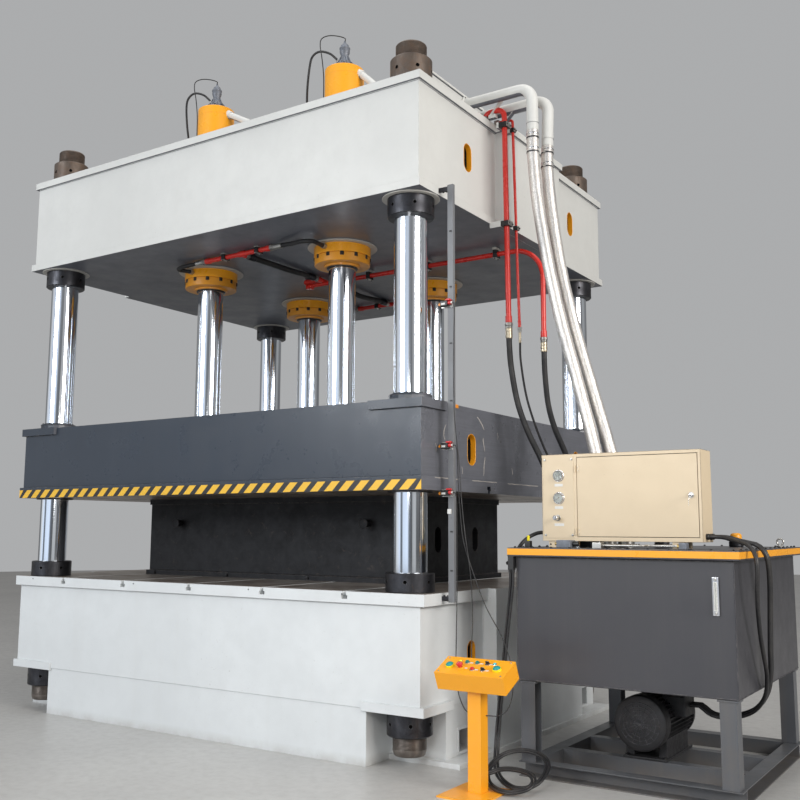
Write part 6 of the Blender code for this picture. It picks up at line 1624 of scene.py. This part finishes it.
# ================================================================ ground, lights, surroundings
ground = Finish("workshop_floor")
soft = ground.noise(0.55, 5.0, 0.6)
fine = ground.noise(14.0, 6.0, 0.65)
tone = ground.mix(ground.ramp(soft, 0.35, 0.7), (0.50, 0.50, 0.49), (0.43, 0.43, 0.425))
tone = ground.mix(ground.ramp(fine, 0.45, 0.75, 0.0, 0.35), tone, (0.36, 0.355, 0.35))
ground.set(colour=tone, rough=ground.ramp(fine, 0.3, 0.7, 0.32, 0.48), normal=ground.bump(fine, 0.0008, 0.3))
mesh = bpy.data.meshes.new("floor_disc")
bm = bmesh.new()
bmesh.ops.create_circle(bm, cap_ends=True, segments=128, radius=30.0)
bm.to_mesh(mesh)
bm.free()
mesh.materials.append(ground.mat)
floor = bpy.data.objects.new("floor_disc", mesh)
floor.location = (0.9, 0, 0)
PIECES.objects.link(floor)


def lamp(name, at, to, size, power, colour, size_y=None):
    data = bpy.data.lights.new(name, "AREA")
    data.shape = "RECTANGLE"
    data.size, data.size_y = size, size_y or size
    data.energy, data.color = power, colour
    obj = bpy.data.objects.new(name, data)
    obj.location = at
    obj.rotation_euler = (Vector(to) - Vector(at)).to_track_quat("-Z", "Y").to_euler()
    PIECES.objects.link(obj)
    return obj


lamp("key", (-5.0, -16.0, 6.5), (0.5, 0, 2.4), 8.0, 1140, (0.94, 0.97, 1.0), 5.0)
lamp("side", (15.0, -4.0, 6.0), (1.5, 0, 2.2), 7.0, 1360, (1.0, 0.965, 0.92), 4.5)
lamp("roof", (0.5, -1.0, 12.5), (0.5, 0, 0), 12.0, 430, (1.0, 0.99, 0.97), 8.0)
lamp("stand", (3.6, -5.6, 2.6), (2.6, -1.85, 0.6), 1.2, 52, (1.0, 0.97, 0.92), 1.2)

world = bpy.data.worlds.new("workshop")
world.use_nodes = True
SCENE.world = world
tree = world.node_tree
tree.nodes.clear()
coord = tree.nodes.new("ShaderNodeTexCoord")
parts = tree.nodes.new("ShaderNodeSeparateXYZ")
tree.links.new(coord.outputs["Generated"], parts.inputs[0])


def wmath(op, a, b=0.0):
    n = tree.nodes.new("ShaderNodeMath")
    n.operation = op
    for k, v in ((0, a), (1, b)):
        if isinstance(v, (int, float)):
            n.inputs[k].default_value = v
        else:
            tree.links.new(v, n.inputs[k])
    return n.outputs[0]


turn = wmath("MULTIPLY", wmath("ARCTAN2", parts.outputs[1], parts.outputs[0]), 1.0 / (2 * math.pi))
turn = wmath("FRACT", wmath("ADD", turn, 0.5))
bands = tree.nodes.new("ShaderNodeValToRGB")
tree.links.new(turn, bands.inputs[0])
stops = [(-180, 0.30), (-165, 0.32), (-160, 1.25), (-128, 1.45), (-122, 0.20), (-112, 0.22), (-106, 1.35), (-74, 1.55), (-66, 0.24), (-46, 0.10), (-42, 0.75), (-22, 0.85), (-16, 0.12), (14, 0.16), (20, 0.55), (44, 0.45), (52, 0.14), (95, 0.16), (104, 0.55), (128, 0.50), (136, 0.18), (180, 0.30)]
ramp = bands.color_ramp
while len(ramp.elements) > 1:
    ramp.elements.remove(ramp.elements[-1])
first = True
for degrees, level in stops:
    place_at = (degrees + 180) / 360
    cool = -150 < degrees < -60
    colour = (level * (0.93 if cool else 0.97), level * (1.04 if cool else 0.97), level * (1.20 if cool else 0.96), 1)
    if first:
        ramp.elements[0].position, ramp.elements[0].color = place_at, colour
        first = False
    else:
        e = ramp.elements.new(place_at)
        e.color = colour
height = tree.nodes.new("ShaderNodeMapRange")
tree.links.new(parts.outputs[2], height.inputs[0])
for k, v in zip((1, 2, 3, 4), (-0.05, 0.60, 0.0, 1.0)):
    height.inputs[k].default_value = v
sky = tree.nodes.new("ShaderNodeMix")
sky.data_type = "RGBA"
tree.links.new(height.outputs[0], sky.inputs[0])
tree.links.new(bands.outputs[0], sky.inputs[6])
sky.inputs[7].default_value = (0.58, 0.57, 0.56, 1)
seen = tree.nodes.new("ShaderNodeLightPath")
backdrop = tree.nodes.new("ShaderNodeMix")
backdrop.data_type = "RGBA"
tree.links.new(seen.outputs["Is Camera Ray"], backdrop.inputs[0])
tree.links.new(sky.outputs[2], backdrop.inputs[6])
backdrop.inputs[7].default_value = (0.66, 0.67, 0.68, 1)
shine = tree.nodes.new("ShaderNodeBackground")
tree.links.new(backdrop.outputs[2], shine.inputs[0])
shine.inputs[1].default_value = 0.62
end = tree.nodes.new("ShaderNodeOutputWorld")
tree.links.new(shine.outputs[0], end.inputs[0])

SCENE.view_settings.view_transform = "Standard"
SCENE.view_settings.look = "None"
SCENE.view_settings.exposure = 0.0
